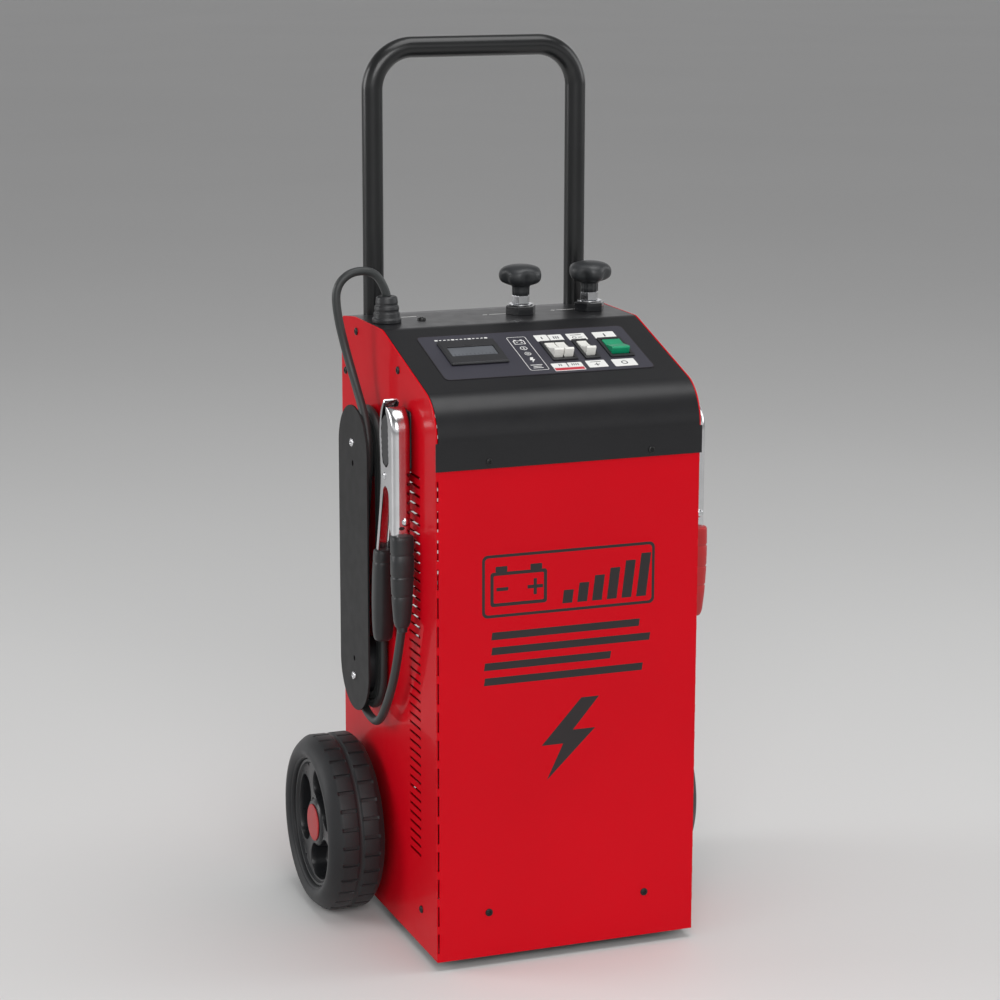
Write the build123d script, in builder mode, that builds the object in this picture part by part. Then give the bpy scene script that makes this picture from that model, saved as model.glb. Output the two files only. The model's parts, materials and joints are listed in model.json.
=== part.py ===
from build123d import *
import math
import os

os.makedirs("parts", exist_ok=True)

# Wheeled battery starter / charger.
# +X is the user's right when facing the front panel, the front panel faces -Y, +Z is up.
# The origin is on the floor under the middle of the machine (leads not counted).

# ---------------------------------------------------------------- driving sizes (mm)
W = 290.0             # cabinet width
D = 312.0             # cabinet depth
H = 641.0             # cabinet height, flat of the hood
T = 1.5               # sheet thickness
FRONT_PROUD = 3.1     # hood-skirt screw heads in front of the front sheet
REAR_PROUD = 16.0     # mains gland behind the rear sheet
YF = -(D + REAR_PROUD - FRONT_PROUD) / 2     # y of the front sheet
Z_SLOPE0 = 588.0      # height where the control slope meets the front plane
SLOPE = math.radians(17.2)
SA, CA = math.sin(SLOPE), math.cos(SLOPE)
Y_TOP = (H - Z_SLOPE0) / math.tan(SLOPE)
CUT_Y, CUT_Z = 222.0, 85.0      # rear lower corner cut away so that the machine tilts on its wheels
R_NOSE = 47.0
FOLD_R = 2.2
Z_FRONT = 548.0       # top of the front sheet, behind the hood skirt
Z_SKIRT = 523.0

WHEEL_R = 96.5
WHEEL_Y = YF + 231.4
LIFT = 10.0                     # cabinet stands this far off the floor, on its wheels and two front feet
WHEEL_Z = WHEEL_R - LIFT
AXLE_R = 8.0
WHEEL_IN = W / 2 + 9.0
WHEEL_OUT = W / 2 + 71.5
HUB_R = 70.5
HUB_SET = 8.0                   # the hub's face lies this far inside the tyre's bulge

HANDLE_R = 11.25
HANDLE_X = 117.0
HANDLE_Y = YF + 284.0
HANDLE_Z = 925.7
HANDLE_BEND = 45.0

TERM_Y = YF + 224.0
TERM_X = (31.0, 111.4)
STUD_R = 5.0
RUN = 0.06            # radial clearance of running fits

TIDY_Y = YF + 200.0
TIDY_Z0, TIDY_Z1 = 271.0, 508.0
TIDY_R = 49.0
TIDY_IN = W / 2 + 22.4
TIDY_OUT = W / 2 + 24.4

CORD_R = 4.6
GR_Y, GR_Z = 285.0, 480.0     # positive lead gland on the right side
CLAMP_X = {"black": -159.65, "red": 171.0}
CLAMP_DROP = {"black": 0.0, "red": 17.0}
PIVOT = (YF + 91.6, 502.6)

slope = Plane(origin=(0, YF, Z_SLOPE0), x_dir=(1, 0, 0), z_dir=(0, -SA, CA))


def yz(pts):
    """points given as (distance behind the front sheet, height)"""
    return [(YF + a, b) for a, b in pts]


def miter(pts, t):
    """open polyline moved sideways by t, to the right of its direction"""
    out = []
    n = []
    for a, b in zip(pts, pts[1:]):
        dx, dy = b[0] - a[0], b[1] - a[1]
        s = math.hypot(dx, dy)
        n.append((dy / s, -dx / s))
    for i, p in enumerate(pts):
        if i == 0:
            m, k = n[0], 1.0
        elif i == len(pts) - 1:
            m, k = n[-1], 1.0
        else:
            m = (n[i - 1][0] + n[i][0], n[i - 1][1] + n[i][1])
            s = math.hypot(*m)
            m = (m[0] / s, m[1] / s)
            k = 1.0 / (m[0] * n[i][0] + m[1] * n[i][1])
        out.append((p[0] + m[0] * t * k, p[1] + m[1] * t * k))
    return out


def save(part, label):
    # everything is drawn with z = 0 at the cabinet's bottom edge, and stands LIFT higher in the finished frame
    placed = part.moved(Location((0, 0, LIFT)))
    placed.label = label
    export_step(placed, f"parts/{label}.step")


# ---------------------------------------------------------------- folded front and sides
REAR_TOP = H - 5.8
SIDE_SCREWS = [(258, 626), (297, 577), (118, 607), (50.4, 41.4)]
DASH_PITCH, DASH_LEN, DASH_N = 30.1, 21.8, 17
SLOT_PITCH, SLOT_N = 9.9, 42

with BuildPart() as body_wrap:
    # folded U seen from above
    with BuildSketch(Plane.XY):
        with Locations((0, YF + 20)):
            Rectangle(W, 40)
        with Locations((0, YF + 20 + T)):
            Rectangle(W - 2 * T, 40, mode=Mode.SUBTRACT)
    extrude(amount=Z_FRONT)
    fold = body_wrap.edges().filter_by(Axis.Z).filter_by(lambda e: abs(e.center().Y - YF) < 0.1)
    fillet(fold, FOLD_R)
    # side cheeks with the full outline
    with BuildSketch(Plane.YZ.offset(-W / 2)):
        with BuildLine():
            FilletPolyline(
                *yz([(FOLD_R + 1, 0), (CUT_Y, 0), (D, CUT_Z), (D, REAR_TOP), (266, H), (Y_TOP, H),
                     (0, Z_SLOPE0), (0, 546), (FOLD_R + 1, 546)]),
                radius=[0, 6, 6, 10, 60, 30, R_NOSE, 0, 0], close=True)
        make_face()
    extrude(amount=T)
    with BuildSketch(Plane.YZ.offset(W / 2)):
        with BuildLine():
            FilletPolyline(
                *yz([(FOLD_R + 1, 0), (CUT_Y, 0), (D, CUT_Z), (D, REAR_TOP), (266, H), (Y_TOP, H),
                     (0, Z_SLOPE0), (0, 546), (FOLD_R + 1, 546)]),
                radius=[0, 6, 6, 10, 60, 30, R_NOSE, 0, 0], close=True)
        make_face()
    extrude(amount=-T)
    # cooling slots, one column on each side
    with BuildSketch(Plane.YZ.offset(-W / 2 - 1)):
        with Locations((YF + 69.2, 303)):
            with GridLocations(36, SLOT_PITCH, 1, SLOT_N):
                Rectangle(36, 3.0)
        with Locations(*yz(SIDE_SCREWS)):
            Circle(1.9)
        with Locations((WHEEL_Y, WHEEL_Z)):
            Circle(AXLE_R + 0.3)
    extrude(amount=W + 2, mode=Mode.SUBTRACT)
    with BuildSketch(Plane.YZ.offset(W / 2 - 5)):
        with Locations((YF + GR_Y, GR_Z)):
            Circle(11.2)
    extrude(amount=10, mode=Mode.SUBTRACT)
    # perforated fold lines
    with BuildSketch(Plane.XZ.offset(-YF + 1)):
        with Locations((0, 9.5 + DASH_LEN / 2 + DASH_PITCH * (DASH_N - 1) / 2)):
            with GridLocations(2 * (W / 2 - 1.1), DASH_PITCH, 2, DASH_N):
                Rectangle(2.6, DASH_LEN)
        with Locations((-88, 48.4), (88, 48.4), (-89, 530), (89, 530)):
            Circle(1.9)
    extrude(amount=-(T + 1.6), mode=Mode.SUBTRACT)
save(body_wrap.part, "body_wrap")

# ---------------------------------------------------------------- base pan
PW = W - 2 * T - 0.4
with BuildPart() as base_pan:
    with BuildSketch(Plane.YZ.offset(-PW / 2)):
        with BuildLine():
            Polyline(*yz([(T + 0.2, 0), (CUT_Y, 0), (D - 1.7, CUT_Z - 1.6), (D - 2.8, CUT_Z - 0.4),
                          (CUT_Y - 0.6, T), (T + 0.2, T)]), close=True)
        make_face()
    extrude(amount=PW)
    for x0, d in ((-PW / 2, T), (PW / 2, -T)):
        with BuildSketch(Plane.YZ.offset(x0)):
            with BuildLine():
                Polyline(*yz([(T + 0.2, 0), (CUT_Y, 0), (D - 1.7, CUT_Z - 1.6), (D - 12, CUT_Z + 9.3),
                              (CUT_Y - 6, 16), (T + 0.2, 16)]), close=True)
            make_face()
        extrude(amount=d)
    with BuildSketch(Plane.XZ.offset(-YF - T - 0.2)):
        with Locations((0, 8)):
            Rectangle(PW, 16)
    extrude(amount=-T)
    with BuildSketch(Plane.XY.offset(-1)):
        with Locations((0, YF + 110)):
            with GridLocations(24, 150, 8, 2):
                SlotOverall(40, 6, rotation=90)
    extrude(amount=T + 2, mode=Mode.SUBTRACT)
    # two folded steel feet, set back from the front edge
    with BuildSketch(Plane.XY.offset(0.2)):
        with Locations((-100, YF + 71), (100, YF + 71)):
            Rectangle(44, 30)
            Rectangle(40, 26, mode=Mode.SUBTRACT)
    extrude(amount=-LIFT - 0.2)
save(base_pan.part, "base_pan")

# ---------------------------------------------------------------- rear panel
REAR_SCREWS = [(-128, 120), (128, 120), (-128, 350), (128, 350), (-128, 600), (128, 600)]
with BuildPart() as rear_panel:
    with BuildSketch(Plane.XZ.offset(-(YF + D))):
        with Locations((0, (86 + 612) / 2)):
            Rectangle(PW, 612 - 86)
        with Locations((0, 390)):
            with GridLocations(110, 12, 2, 22):
                SlotOverall(84, 4, mode=Mode.SUBTRACT)
        with Locations(*REAR_SCREWS):
            Circle(1.9, mode=Mode.SUBTRACT)
        with Locations((-75, 150)):
            Circle(9.2, mode=Mode.SUBTRACT)
    extrude(amount=T)
    for x0, d in ((-PW / 2, T), (PW / 2, -T)):
        with BuildSketch(Plane.YZ.offset(x0)):
            with Locations((YF + D - T - 7, (100 + 600) / 2)):
                Rectangle(14, 500)
        extrude(amount=d)
    with BuildSketch(Plane.YZ.offset(-W / 2)):
        with Locations((YF + 297, 577)):
            Circle(1.9)
    extrude(amount=W, mode=Mode.SUBTRACT)
save(rear_panel.part, "rear_panel")

# ---------------------------------------------------------------- hood
HW = W - 2 * T - 0.8
hood_out = yz([(-1.6, Z_SKIRT), (-1.6, Z_SLOPE0 - 0.5), (Y_TOP, H), (266, H), (D, REAR_TOP), (D, 613)])
hood_in = miter(hood_out, T)
with BuildPart() as top_hood:
    with BuildSketch(Plane.YZ.offset(-HW / 2)):
        with BuildLine():
            FilletPolyline(*hood_out, radius=[R_NOSE + 1, 30, 60, 10])
            Line(hood_out[-1], hood_in[-1])
            FilletPolyline(*reversed(hood_in), radius=[10 - T, 60, 30 + T, R_NOSE + 1 - T])
            Line(hood_in[0], hood_out[0])
        make_face()
    extrude(amount=HW)
    with BuildSketch(Plane.XZ.offset(-YF + 1.6)):
        with Locations((0, (Z_SKIRT + 552) / 2)):
            Rectangle(W + 2, 552 - Z_SKIRT)
    extrude(amount=-T)
    with BuildSketch(Plane.XZ.offset(-YF + 4)):
        with Locations((-89, 530), (89, 530)):
            Circle(1.9)
    extrude(amount=-8, mode=Mode.SUBTRACT)
    with BuildSketch(Plane.XY.offset(600)):
        with Locations((-HANDLE_X, HANDLE_Y), (HANDLE_X, HANDLE_Y)):
            Circle(HANDLE_R + 0.6)
        with Locations((TERM_X[0], TERM_Y), (TERM_X[1], TERM_Y)):
            Circle(12.3)
        with Locations((-124.6, YF + 216)):
            Circle(11.2)
        with Locations((-84, YF + 220)):
            Circle(1.9)
    extrude(amount=60, mode=Mode.SUBTRACT)
    # openings in the control slope for the meter and the switches
    with BuildSketch(slope.offset(-8)):
        with Locations((-66.7, 113)):
            Rectangle(56, 42)
        with Locations((26.8, 106.5)):
            Rectangle(25.6, 37.6)
        with Locations((57.5, 106.5)):
            Rectangle(14.6, 37.6)
        with Locations((91.1, 106.5)):
            Rectangle(24.6, 37.6)
    extrude(amount=16, mode=Mode.SUBTRACT)
save(top_hood.part, "top_hood")

# ---------------------------------------------------------------- push handle
with BuildPart() as handle:
    with BuildLine() as handle_path:
        FilletPolyline((-HANDLE_X, HANDLE_Y, 430), (-HANDLE_X, HANDLE_Y, HANDLE_Z),
                       (HANDLE_X, HANDLE_Y, HANDLE_Z), (HANDLE_X, HANDLE_Y, 430), radius=HANDLE_BEND)
    with BuildSketch(Plane(origin=handle_path.line @ 0, z_dir=handle_path.line % 0)):
        Circle(HANDLE_R)
        Circle(HANDLE_R - 1.8, mode=Mode.SUBTRACT)
    sweep()
save(handle.part, "handle")

with BuildPart() as handle_clamps:
    for z in (455, 545):
        with BuildSketch(Plane.XY.offset(z - 10)):
            for s in (-1, 1):
                with Locations((s * (W / 2 - T - 0.2 - 21), HANDLE_Y)):
                    Rectangle(42, 24)
                with Locations((s * HANDLE_X, HANDLE_Y)):
                    Circle(HANDLE_R + 0.05, mode=Mode.SUBTRACT)
        extrude(amount=20)
    fillet(handle_clamps.edges().filter_by(Axis.Z).filter_by(lambda e: abs(e.center().X) < 105), 4)
save(handle_clamps.part, "handle_clamps")

# ---------------------------------------------------------------- axle and wheels
wheel_plane = Plane(origin=(0, WHEEL_Y, WHEEL_Z), x_dir=(1, 0, 0), z_dir=(0, -1, 0))
wheel_axis = Axis((0, WHEEL_Y, WHEEL_Z), (1, 0, 0))

with BuildPart() as axle:
    with BuildSketch(Plane.YZ.offset(-W / 2 - 54.5)):
        with Locations((WHEEL_Y, WHEEL_Z)):
            Circle(AXLE_R)
    extrude(amount=W + 109)
    chamfer(axle.edges().filter_by(GeomType.CIRCLE), 1)
save(axle.part, "axle")

with BuildPart() as axle_brackets:
    for x0, d in ((-W / 2 + T + 0.2, 6), (W / 2 - T - 0.2, -6)):
        with BuildSketch(Plane.YZ.offset(x0)):
            with Locations((WHEEL_Y, 101)):
                Rectangle(60, 74)
            with Locations((WHEEL_Y, WHEEL_Z)):
                Circle(AXLE_R + 0.02, mode=Mode.SUBTRACT)
        extrude(amount=d)
    for x0, d in ((-W / 2 - 1, -7.4), (W / 2 + 1, 7.4)):
        with BuildSketch(Plane.YZ.offset(x0)):
            with Locations((WHEEL_Y, WHEEL_Z)):
                Circle(12.5)
                Circle(AXLE_R + 0.02, mode=Mode.SUBTRACT)
        extrude(amount=d)
save(axle_brackets.part, "axle_brackets")

with BuildPart() as push_nuts:
    for x0, d in ((-W / 2 - 50.5, -2.2), (W / 2 + 50.5, 2.2)):
        with BuildSketch(Plane.YZ.offset(x0)):
            with Locations((WHEEL_Y, WHEEL_Z)):
                Circle(12)
                Circle(AXLE_R + 0.02, mode=Mode.SUBTRACT)
        extrude(amount=d)
save(push_nuts.part, "push_nuts")

XI, XO = -WHEEL_IN, -WHEEL_OUT
XH = XO + HUB_SET
with BuildPart() as tyre_left:
    with BuildSketch(wheel_plane):
        with BuildLine():
            Polyline((XI, HUB_R + 0.1), (XH, HUB_R + 0.1), (XO + 5.4, HUB_R + 0.8), (XO + 3, 73.6), (XO + 1, 76.8), (XO, 79.8),
                     (XO, 82.5), (XO + 1.2, 85.4), (XO + 3.6, 88.8), (XO + 7, 92.2), (XO + 10.6, 94.6),
                     (XO + 13, WHEEL_R), (XO + 30, WHEEL_R), (XO + 31.5, WHEEL_R - 1.6), (XO + 34, WHEEL_R - 1.6),
                     (XO + 35.5, WHEEL_R), (XI - 9, WHEEL_R), (XI - 4, WHEEL_R - 4), (XI, 85), close=True)
        make_face()
    revolve(axis=wheel_axis)
    # tread: staggered cross grooves in two bands
    with BuildSketch(Plane.YZ.offset(XO + 12.5)):
        with Locations((WHEEL_Y, WHEEL_Z)):
            with PolarLocations(WHEEL_R, 30):
                Rectangle(3.6, 4)
    extrude(amount=18, mode=Mode.SUBTRACT)
    with BuildSketch(Plane.YZ.offset(XO + 34.5)):
        with Locations((WHEEL_Y, WHEEL_Z)):
            with PolarLocations(WHEEL_R, 30, start_angle=6):
                Rectangle(3.6, 4)
    extrude(amount=17, mode=Mode.SUBTRACT)
save(tyre_left.part, "tyre_left")

with BuildPart() as tyre_right:
    mirror(tyre_left.part, about=Plane.YZ)
save(tyre_right.part, "tyre_right")

hub_face = Plane(origin=(XH, WHEEL_Y, WHEEL_Z), x_dir=(0, -1, 0), z_dir=(-1, 0, 0))
with BuildPart() as wheel_hub_left:
    with BuildSketch(wheel_plane):
        with BuildLine():
            Polyline((XI, AXLE_R + RUN), (XI, 26), (XI - 24, 28), (XI - 24, 62), (XI, 64), (XI, HUB_R),
                     (XH, HUB_R), (XH, 67), (XH + 3, 65.5), (XH + 3, 26), (XH + 0.5, 24), (XH + 0.5, 14),
                     (XH + 15, 14), (XH + 15, AXLE_R + RUN), close=True)
        make_face()
    revolve(axis=wheel_axis)
    # three kidney pockets in the outer face
    for ang in (53, 173, 293):
        with BuildSketch(hub_face):
            SlotArc(CenterArc((0, 0), 44.8, ang - 26, 52), 37)
        extrude(amount=-22, taper=9, mode=Mode.SUBTRACT)
save(wheel_hub_left.part, "wheel_hub_left")

with BuildPart() as wheel_hub_right:
    mirror(wheel_hub_left.part, about=Plane.YZ)
save(wheel_hub_right.part, "wheel_hub_right")

with BuildPart() as hub_cap_left:
    with BuildSketch(wheel_plane):
        with BuildLine():
            Polyline((XH + 0.4, 0), (XH + 0.4, 12), (XH + 7, 12), (XH + 7, 13.9), (XH + 0.4, 13.9), (XH + 0.4, 20.4),
                     (XH - 0.8, 20.4), (XH - 1.5, 18.6), (XH - 1.7, 12), (XH - 1.8, 0), close=True)
        make_face()
    revolve(axis=wheel_axis)
save(hub_cap_left.part, "hub_cap_left")

with BuildPart() as hub_cap_right:
    mirror(hub_cap_left.part, about=Plane.YZ)
save(hub_cap_right.part, "hub_cap_right")

# ---------------------------------------------------------------- control panel on the slope
with BuildPart() as panel_overlay:
    with BuildSketch(slope):
        with Locations((1.0, 107)):
            RectangleRounded(233, 100, 6)
        with Locations((-66.7, 113)):
            Rectangle(58, 44, mode=Mode.SUBTRACT)
        with Locations((26.8, 106.5)):
            Rectangle(28.4, 45, mode=Mode.SUBTRACT)
        with Locations((57.5, 106.5)):
            Rectangle(17.6, 45, mode=Mode.SUBTRACT)
        with Locations((91.1, 106.5)):
            Rectangle(27.4, 45, mode=Mode.SUBTRACT)
    extrude(amount=0.4)
save(panel_overlay.part, "panel_overlay")

with BuildPart() as meter_bezel:
    with BuildSketch(slope.offset(0.45)):
        with Locations((-66.7, 113)):
            RectangleRounded(63.5, 52.5, 2)
    extrude(amount=3.2)
    chamfer(meter_bezel.faces().sort_by(Axis.Z)[-1].edges(), 1.2)
    with BuildSketch(slope.offset(0.45)):
        with Locations((-66.7, 113)):
            Rectangle(55, 41)
    extrude(amount=-24)
    with BuildSketch(slope.offset(1.6)):
        with Locations((-66.7, 113.5)):
            Rectangle(51, 21)
    extrude(amount=4, mode=Mode.SUBTRACT)
save(meter_bezel.part, "meter_bezel")

with BuildPart() as meter_window:
    with BuildSketch(slope.offset(1.65)):
        with Locations((-66.7, 113.5)):
            Rectangle(50.8, 20.8)
    extrude(amount=0.8)
save(meter_window.part, "meter_window")

# rocker pivots, in slope coordinates: s up the slope, h above it
ROCK_S, ROCK_H = 107.5, -1.0
S_LO, S_HI = 88.6, 124.2
PIN_R = 1.4


def switch_frame(xs, width_in, width_out, label):
    """a switch body with a raised rim and one rocker bay for each x in xs"""
    xm = sum(xs) / len(xs)
    with BuildPart() as frame:
        with BuildSketch(slope.offset(0.45)):
            with Locations((xm, 106.5)):
                RectangleRounded(width_out, 44, 1.5)
        extrude(amount=1.5)
        with BuildSketch(slope.offset(0.45)):
            with Locations((xm, 106.5)):
                Rectangle(width_out - 3.2, 37)
        extrude(amount=-26)
        with BuildSketch(slope.offset(-9)):
            for x in xs:
                with Locations((x, (S_LO + S_HI) / 2)):
                    Rectangle(width_in, S_HI - S_LO)
        extrude(amount=14, mode=Mode.SUBTRACT)
        for x in xs:
            with BuildSketch(Plane(origin=(x, YF, Z_SLOPE0), x_dir=(0, CA, SA), z_dir=(1, 0, 0))):
                with Locations((ROCK_S, ROCK_H)):
                    Circle(PIN_R + RUN)
            extrude(amount=width_in / 2 + 0.33, both=True, mode=Mode.SUBTRACT)
    save(frame.part, label)


def rocker(x, width, width_in, top, label):
    with BuildPart() as rock:
        with BuildSketch(Plane(origin=(x, YF, Z_SLOPE0), x_dir=(0, CA, SA), z_dir=(1, 0, 0))):
            with BuildLine():
                Polyline(*top, close=True)
            make_face()
        extrude(amount=width / 2, both=True)
        with BuildSketch(Plane(origin=(x, YF, Z_SLOPE0), x_dir=(0, CA, SA), z_dir=(1, 0, 0))):
            with Locations((ROCK_S, ROCK_H)):
                Circle(PIN_R)
        extrude(amount=width_in / 2 + 0.28, both=True)
    save(rock.part, label)


WHITE_TOP = [(94.0, -1.5), (92.6, 0.5), (92.0, 9.4), (92.8, 10.4), (94.2, 10.6), (100, 7.4), (107, 4.4),
             (114, 3.2), (121.2, 3.0), (122.2, 2.0), (122.2, -1.0), (118, -5.6), (98, -5.6)]
GREEN_TOP = [(94.0, -1.5), (92.6, 0.5), (92.0, 7.0), (92.8, 8.0), (94.2, 8.2), (101, 6.0), (107.5, 4.0),
             (108.0, 3.1), (114, 3.0), (121.2, 3.0), (122.2, 2.0), (122.2, -1.0), (118, -5.6), (98, -5.6)]

switch_frame([21.0, 32.6], 10.9, 28.0, "switch_frame_dual")
switch_frame([57.5], 10.9, 17.2, "switch_frame_mode")
switch_frame([91.1], 20.6, 27.0, "switch_frame_power")
rocker(21.0, 10.4, 10.9, WHITE_TOP, "rocker_rate_low")
rocker(32.6, 10.4, 10.9, WHITE_TOP, "rocker_rate_high")
rocker(57.5, 10.4, 10.9, WHITE_TOP, "rocker_mode")
rocker(91.1, 20.0, 20.6, GREEN_TOP, "rocker_power")

# ---------------------------------------------------------------- output terminals
with BuildPart() as terminal_bases:
    for x in TERM_X:
        with BuildSketch(Plane.XY.offset(H + 0.05)):
            with Locations((x, TERM_Y)):
                RegularPolygon(17.2, 6)
                Circle(STUD_R + 0.1, mode=Mode.SUBTRACT)
        extrude(amount=9.9)
        with BuildSketch(Plane.XY.offset(H + 0.05)):
            with Locations((x, TERM_Y)):
                Circle(12)
                Circle(STUD_R + 0.1, mode=Mode.SUBTRACT)
        extrude(amount=-9)
    chamfer(terminal_bases.faces().filter_by(Axis.Z).group_by(Axis.Z)[-1].edges().filter_by(GeomType.LINE), 1.2)
save(terminal_bases.part, "terminal_bases")

with BuildPart() as terminal_studs:
    for x in TERM_X:
        with BuildSketch(Plane.XY.offset(598)):
            with Locations((x, TERM_Y)):
                Circle(STUD_R)
        extrude(amount=80)
        with BuildSketch(Plane.XY.offset(623)):
            with Locations((x, TERM_Y)):
                RegularPolygon(9.8, 6)
        extrude(amount=8)
    chamfer(terminal_studs.faces().sort_by(Axis.Z)[-2:].edges(), 0.8)
save(terminal_studs.part, "terminal_studs")

for x, tag in zip(TERM_X, ("left", "right")):
    with BuildPart() as terminal_washer:
        with BuildSketch(Plane.XY.offset(H + 10.02)):
            with Locations((x, TERM_Y)):
                Circle(13)
                Circle(STUD_R + RUN, mode=Mode.SUBTRACT)
        extrude(amount=1.2)
    save(terminal_washer.part, f"terminal_washer_{tag}")

    with BuildPart() as terminal_nut:
        with BuildSketch(Plane.XY.offset(H + 11.3)):
            with Locations((x, TERM_Y)):
                RegularPolygon(10.2, 6)
                Circle(STUD_R + RUN, mode=Mode.SUBTRACT)
        extrude(amount=9.4)
        chamfer(terminal_nut.faces().filter_by(Axis.Z).edges().filter_by(GeomType.LINE), 0.6)
    save(terminal_nut.part, f"terminal_nut_{tag}")

    with BuildPart() as terminal_knob:
        turn = 0 if tag == "left" else 36
        with BuildSketch(Plane.XZ.offset(-TERM_Y)):
            with BuildLine():
                Polyline((x, 672), (x + 9.2, 672), (x + 12, 673.5), (x + 21.5, 676.5), (x + 23.6, 680), (x + 23.75, 685),
                         (x + 22.3, 689.5), (x + 19, 692.5), (x + 12, 694.3), (x, 694.8), close=True)
            make_face()
        revolve(axis=Axis((x, TERM_Y, 0), (0, 0, 1)))
        with BuildSketch(Plane.XY.offset(670)) as lobes:
            with Locations((x, TERM_Y)):
                Circle(23.75)
                with PolarLocations(28.5, 5, start_angle=270 + turn):
                    Circle(10.5, mode=Mode.SUBTRACT)
            fillet(lobes.vertices(), 4)
        extrude(amount=26, mode=Mode.INTERSECT)
        with BuildSketch(Plane.XY.offset(H + 20.75)):
            with Locations((x, TERM_Y)):
                Circle(9.2)
                with PolarLocations(9.6, 12):
                    Circle(1.0, mode=Mode.SUBTRACT)
        extrude(amount=12)
        with BuildSketch(Plane.XY.offset(H + 20)):
            with Locations((x, TERM_Y)):
                Circle(STUD_R + RUN)
        extrude(amount=684 - H - 20, mode=Mode.SUBTRACT)
    save(terminal_knob.part, f"terminal_knob_{tag}")

# ---------------------------------------------------------------- glands
GX, GY = -124.6, YF + 216.0
GTOP = H + 28.5
with BuildPart() as lead_glands:
    # negative lead, on the hood
    with BuildSketch(Plane.XZ.offset(-GY)):
        with BuildLine():
            Polyline((GX, 629), (GX + 11, 629), (GX + 11, H + 0.05), (GX + 15.3, H + 0.05), (GX + 15.3, 645.5), (GX + 13.9, 647),
                     (GX + 13.6, 652), (GX + 12.6, 659), (GX + 11.4, 660), (GX + 10.8, GTOP - 0.8), (GX + 10, GTOP), (GX, GTOP), close=True)
        make_face()
    revolve(axis=Axis((GX, GY, 0), (0, 0, 1)))
    # positive lead, low on the right-hand side, open bore
    with BuildSketch(Plane(origin=(0, YF + GR_Y, GR_Z), x_dir=(1, 0, 0), z_dir=(0, -1, 0))):
        with BuildLine():
            Polyline((W / 2 - 8, 4.9), (W / 2 + 28.5, 4.9), (W / 2 + 28.5, 10), (W / 2 + 27.7, 10.8), (W / 2 + 19, 11.4),
                     (W / 2 + 18, 12.6), (W / 2 + 11, 13.6), (W / 2 + 6, 13.9), (W / 2 + 4.5, 15.3), (W / 2 + 0.05, 15.3),
                     (W / 2 + 0.05, 11), (W / 2 - 8, 11), close=True)
        make_face()
    revolve(axis=Axis((0, YF + GR_Y, GR_Z), (1, 0, 0)))
save(lead_glands.part, "lead_glands")

MG_X, MG_Z = -75.0, 150.0
with BuildPart() as mains_gland:
    with BuildSketch(Plane(origin=(MG_X, YF + D, MG_Z), x_dir=(0, 1, 0), z_dir=(1, 0, 0))):
        with BuildLine():
            Polyline((-12, 5.2), (16, 5.2), (16, 8), (14.5, 9.5), (7, 10.5), (5, 13), (0.05, 13), (0.05, 9.1), (-12, 9.1), close=True)
        make_face()
    revolve(axis=Axis((MG_X, YF + D, MG_Z), (0, 1, 0)))
save(mains_gland.part, "mains_gland")

# ---------------------------------------------------------------- lead tidies and the wound negative lead
with BuildPart() as tidy_plates:
    for x0 in (-TIDY_OUT, TIDY_IN):
        with BuildSketch(Plane.YZ.offset(x0)):
            with Locations((TIDY_Y, (TIDY_Z0 + TIDY_Z1) / 2)):
                SlotCenterToCenter(TIDY_Z1 - TIDY_Z0, 2 * TIDY_R, rotation=90)
            with Locations((TIDY_Y, 517), (TIDY_Y, 259.5)):
                Circle(2.7, mode=Mode.SUBTRACT)
            with Locations((TIDY_Y, 494.5), (TIDY_Y, 279)):
                Circle(3, mode=Mode.SUBTRACT)
        extrude(amount=TIDY_OUT - TIDY_IN)
save(tidy_plates.part, "tidy_plates")

with BuildPart() as tidy_bobbins:
    for x0, d in ((-TIDY_IN, TIDY_IN - W / 2), (TIDY_IN, W / 2 - TIDY_IN)):
        with BuildSketch(Plane.YZ.offset(x0)):
            with Locations((TIDY_Y, TIDY_Z1), (TIDY_Y, TIDY_Z0)):
                Circle(29)
            with Locations((TIDY_Y, 517), (TIDY_Y, 259.5)):
                Circle(2.7, mode=Mode.SUBTRACT)
        extrude(amount=d)
save(tidy_bobbins.part, "tidy_bobbins")

with BuildPart() as tidy_screws:
    with BuildSketch(Plane.YZ.offset(TIDY_OUT + 0.05)):
        with Locations((TIDY_Y, 517), (TIDY_Y, 259.5)):
            Circle(4.6)
    extrude(amount=2.4)
    fillet(tidy_screws.faces().sort_by(Axis.X)[-2:].edges(), 1.5)
    with BuildSketch(Plane.YZ.offset(TIDY_OUT + 0.05)):
        with Locations((TIDY_Y, 517), (TIDY_Y, 259.5)):
            Circle(2.5)
    extrude(amount=-22)
    mirror(about=Plane.YZ)
save(tidy_screws.part, "tidy_screws")

with BuildPart() as lead_coil:
    with BuildSketch(Plane.YZ.offset(-TIDY_IN + 0.5)):
        with Locations((TIDY_Y, (TIDY_Z0 + TIDY_Z1) / 2)):
            SlotCenterToCenter(TIDY_Z1 - TIDY_Z0, 2 * (TIDY_R - 0.5), rotation=90)
            SlotCenterToCenter(TIDY_Z1 - TIDY_Z0, 2 * 29.3, rotation=90, mode=Mode.SUBTRACT)
    extrude(amount=19.9)
save(lead_coil.part, "lead_coil")

CX = CLAMP_X["black"]
UPPER = [(GX, GY, GTOP), (GX, GY, 682), (GX - 16.2, GY, 698.2), (GX - 39.2, GY, 698.2), (GX - 55.4, GY, 682),
         (-178.5, GY - 2, 652), (-170.5, GY - 5, 615), (-163.5, GY - 19, 577), (-158.5, GY - 42, 543)]
LOWER = [(CX, TIDY_Y - 4, 224), (CX, TIDY_Y - 26, 214.5), (CX, TIDY_Y - 60, 216), (CX, TIDY_Y - 92, 254),
         (CX, TIDY_Y - 117, 297), (CX, YF + 67.5, 346)]


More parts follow.
